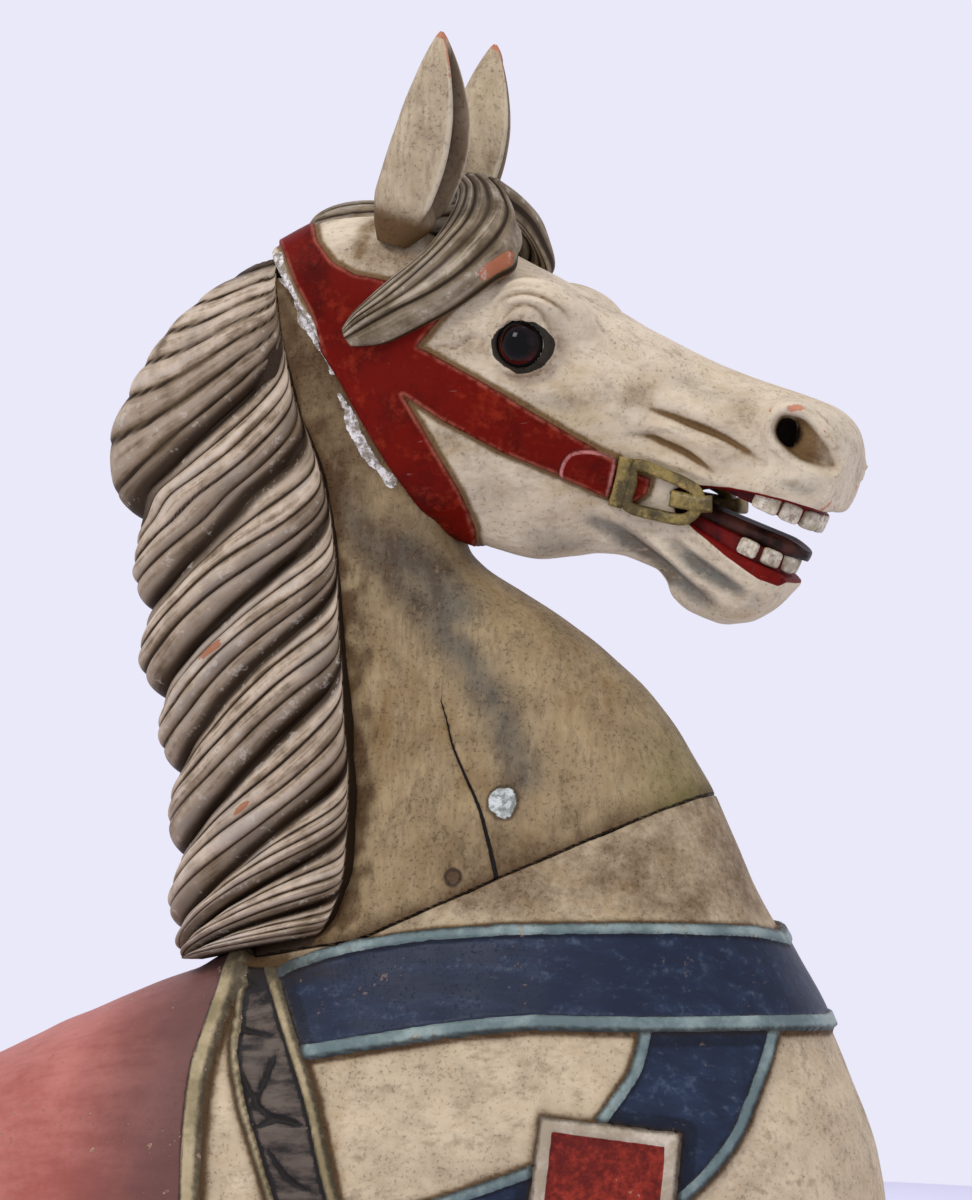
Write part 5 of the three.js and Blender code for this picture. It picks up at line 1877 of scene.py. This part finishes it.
@dataclass(frozen=True)
class ToothPaint:
    """Yellowed tooth paint with brown joints."""

    ivory: Tones = tones("A0957A", "D6CDB6")
    joint: Colour = srgb("5A2418")

    def material(self) -> Finish:
        """Makes the material."""
        paint = Paint("tooth_paint")
        blotch, fine = paint.noise(90, 5, 0.65), paint.noise(260, 4, 0.7)
        paint.ground(*self.ivory, blotch.step(0.38, 0.6))
        paint.coat(self.joint, (0.6 * fine + 0.5 * blotch).step(0.54, 0.66) * 0.6)
        return paint.close(0.45, fine, 0.0004, shine=0.2)


@dataclass
class Buckle:
    """The gold buckle, its keeper and the short bar of the bit on each cheek."""

    frame_bar: float = 4.0
    keeper_bar: float = 4.8
    bit_bar: float = 5.6

    def bar(self, line: Points, half: float, closed: bool, rise: float) -> Shell:
        """A squarish bar that follows a line over the cheek.

        Each ring is a rounded square across the line, and its middle lies rise above the plain head.

        Args:
            line: places on the drawing plane.
            half: half of its thickness.
            closed: whether it is a ring.
            rise: height above the skin.
        Returns:
            The right side's skin.
        """
        path = rounded(line, 7, closed)
        centre = HEAD.on_side(path[:, 0], path[:, 1], rise)
        ahead = np.roll(centre, -1, 0) - np.roll(centre, 1, 0) if closed else np.gradient(centre, axis=0)
        ahead /= np.linalg.norm(ahead, axis=1)[:, None]
        out = np.array([math.sin(DRAW_YAW), -math.cos(DRAW_YAW), 0.0])
        across = np.cross(ahead, out)
        across /= np.linalg.norm(across, axis=1)[:, None]
        turn = lap(24)[0]
        wide, deep = (squarish(wave, 0.55)[None, :, None] for wave in (np.cos(turn), np.sin(turn)))
        grid = centre[:, None] + half * (wide * across[:, None] + deep * out * 1.2)
        if closed:
            grid = np.concatenate([grid, grid[:1]])
            points = grid.reshape(-1, 3)
            return outward(Shell(points, grid_quads(*grid.shape[:2])))
        return tube_shell(grid)

    def build(self) -> Piece:
        """The buckles of both cheeks as one piece."""
        loop = [
            (137, 514), (158, 507), (176, 498), (179, 488), (170, 478), (150, 481), (132, 487), (134, 501),
        ]
        frame_loop = self.bar(loop, self.frame_bar, True, 4.5)
        keeper = self.bar([(131, 519), (128, 503), (123, 486)], self.keeper_bar, False, 5.5)
        bit = self.bar([(160, 492), (170, 490), (180, 488), (188, 488)], self.bit_bar, False, 5.5)
        return both_sides(together(frame_loop, keeper, bit)).build("buckles", BuckleGold().material())


@dataclass(frozen=True)
class BuckleGold:
    """Dull gold paint rubbed to wood at its corners."""

    gold: Tones = tones("4F4220", "88763E")
    wood: Colour = srgb("B08A62")
    dirt: Colour = srgb("1E160A")

    def material(self) -> Finish:
        """Makes the material."""
        paint = Paint("buckle_gold")
        blotch, fine = paint.noise(70, 5, 0.65), paint.noise(260, 4, 0.7)
        paint.ground(*self.gold, (0.7 * blotch + 0.3 * fine).step(0.42, 0.58))
        paint.coat(self.wood, (0.6 * fine + 0.5 * blotch).step(0.62, 0.68) * 0.7)
        paint.coat(self.dirt, paint.noise(55, 4).step(0.52, 0.7) * 0.6)
        return paint.close(0.4, 0.6 * fine + 0.4 * blotch, 0.0004, shine=0.3)


# ---- The studio ----


@dataclass
class Studio:
    """A pale floor, soft lights and the camera."""

    frame_height: float = 0.8
    lens: float = 240
    sensor: float = 36
    across: float = 0.0373
    height: float = 0.424
    aim: Place = (0, 0, 0.4)
    backdrop: Colour = srgb("EAE9FA")

    def build(self) -> None:
        """Sets up the whole studio."""
        self.floor()
        self.lights()
        self.camera()

    def floor(self) -> None:
        """A round pale floor, in rings about its middle."""
        turn = lap(96)
        radius = np.array([2.0, 300, 600, 600, 2.0])[:, None]
        level = np.array([-0.2, -0.2, -0.2, -4, -4])[:, None]
        grid = np.stack(np.broadcast_arrays(radius * np.cos(turn), radius * np.sin(turn), level), -1)
        paint = Paint("floor_paper")
        paint.ground(self.backdrop, self.backdrop, paint.noise(3))
        floor = tube_shell(grid).build("floor", paint.close(0.9))

    def lights(self) -> None:
        """A large soft key from the upper left in front, a fill from the right and a pale surround."""
        world = bpy.data.worlds.new("studio")
        world.use_nodes = True
        background = world.node_tree.nodes["Background"]
        background.inputs[0].default_value = (*self.backdrop, 1)
        background.inputs[1].default_value = 1.0
        bpy.context.scene.world = world
        bpy.context.scene.view_settings.view_transform = "Standard"
        for name, place, size, power in (
            ("key", (-1.2, -2.2, 2.7), 1.0, 40),
            ("fill", (2.4, -2.0, 1.2), 2.0, 4),
            ("top", (0.4, 0.4, 3.0), 1.6, 12),
        ):
            lamp = bpy.data.lights.new(name, "AREA")
            lamp.size, lamp.energy = size, power
            lamp.color = (1.0, 0.985, 0.96)
            light = bpy.data.objects.new(name, lamp)
            bpy.context.scene.collection.objects.link(light)
            light.location = place
            direction = Vector(self.aim) - light.location
            light.rotation_euler = direction.to_track_quat("-Z", "Y").to_euler()

    def camera(self) -> None:
        """A long lens level with the throat, a little ahead of the horse's right side."""
        data = bpy.data.cameras.new("camera")
        data.lens, data.sensor_width = self.lens, self.sensor
        data.clip_end = 50
        camera = bpy.data.objects.new("camera", data)
        bpy.context.scene.collection.objects.link(camera)
        away = self.frame_height * self.lens / self.sensor
        right = np.array([math.cos(DRAW_YAW), math.sin(DRAW_YAW), 0])
        back = np.array([math.sin(DRAW_YAW), -math.cos(DRAW_YAW), 0])
        camera.location = right * self.across + np.array([0, 0, self.height]) + back * away
        camera.rotation_euler = (math.pi / 2, 0, DRAW_YAW)
        bpy.context.scene.camera = camera


def mount(piece: Piece, slot: str | None, *nodes: str) -> None:
    """Fixes a piece to the bust and hides the nodes of the solid that it replaces.

    Args:
        piece: the finished piece.
        slot: the record's material slot, if it has one; not used.
        nodes: the nodes of the solid that it replaces.
    """
    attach(piece, "root")
    if nodes:
        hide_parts(*nodes)
    log.info("%s: %d faces", piece.name, len(piece.data.polygons))


def main() -> None:
    """Builds the horse and its studio."""
    logging.basicConfig(level=logging.INFO, format="%(name)s %(message)s")
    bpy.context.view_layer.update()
    mount(Breast().build(), "breast_paint", "breast")
    mount(Neck().build(), "neck_paint", "neck_and_mane")
    mount(MANE.build(), "neck_paint")
    mount(Head().build(), "head_paint", "head")
    mount(Forelock().build(), "head_paint")
    for piece in Mouth().build():
        mount(piece, "head_paint")
    mount(Buckle().build(), "head_paint")
    for side in Side:
        mount(Ears().build(side), "ear_paint", f"{side.word}_ear")
        mount(EYES.build(side), "eye_glass", f"{side.word}_eye")
    Studio().build()


if __name__ == "__main__":
    main()
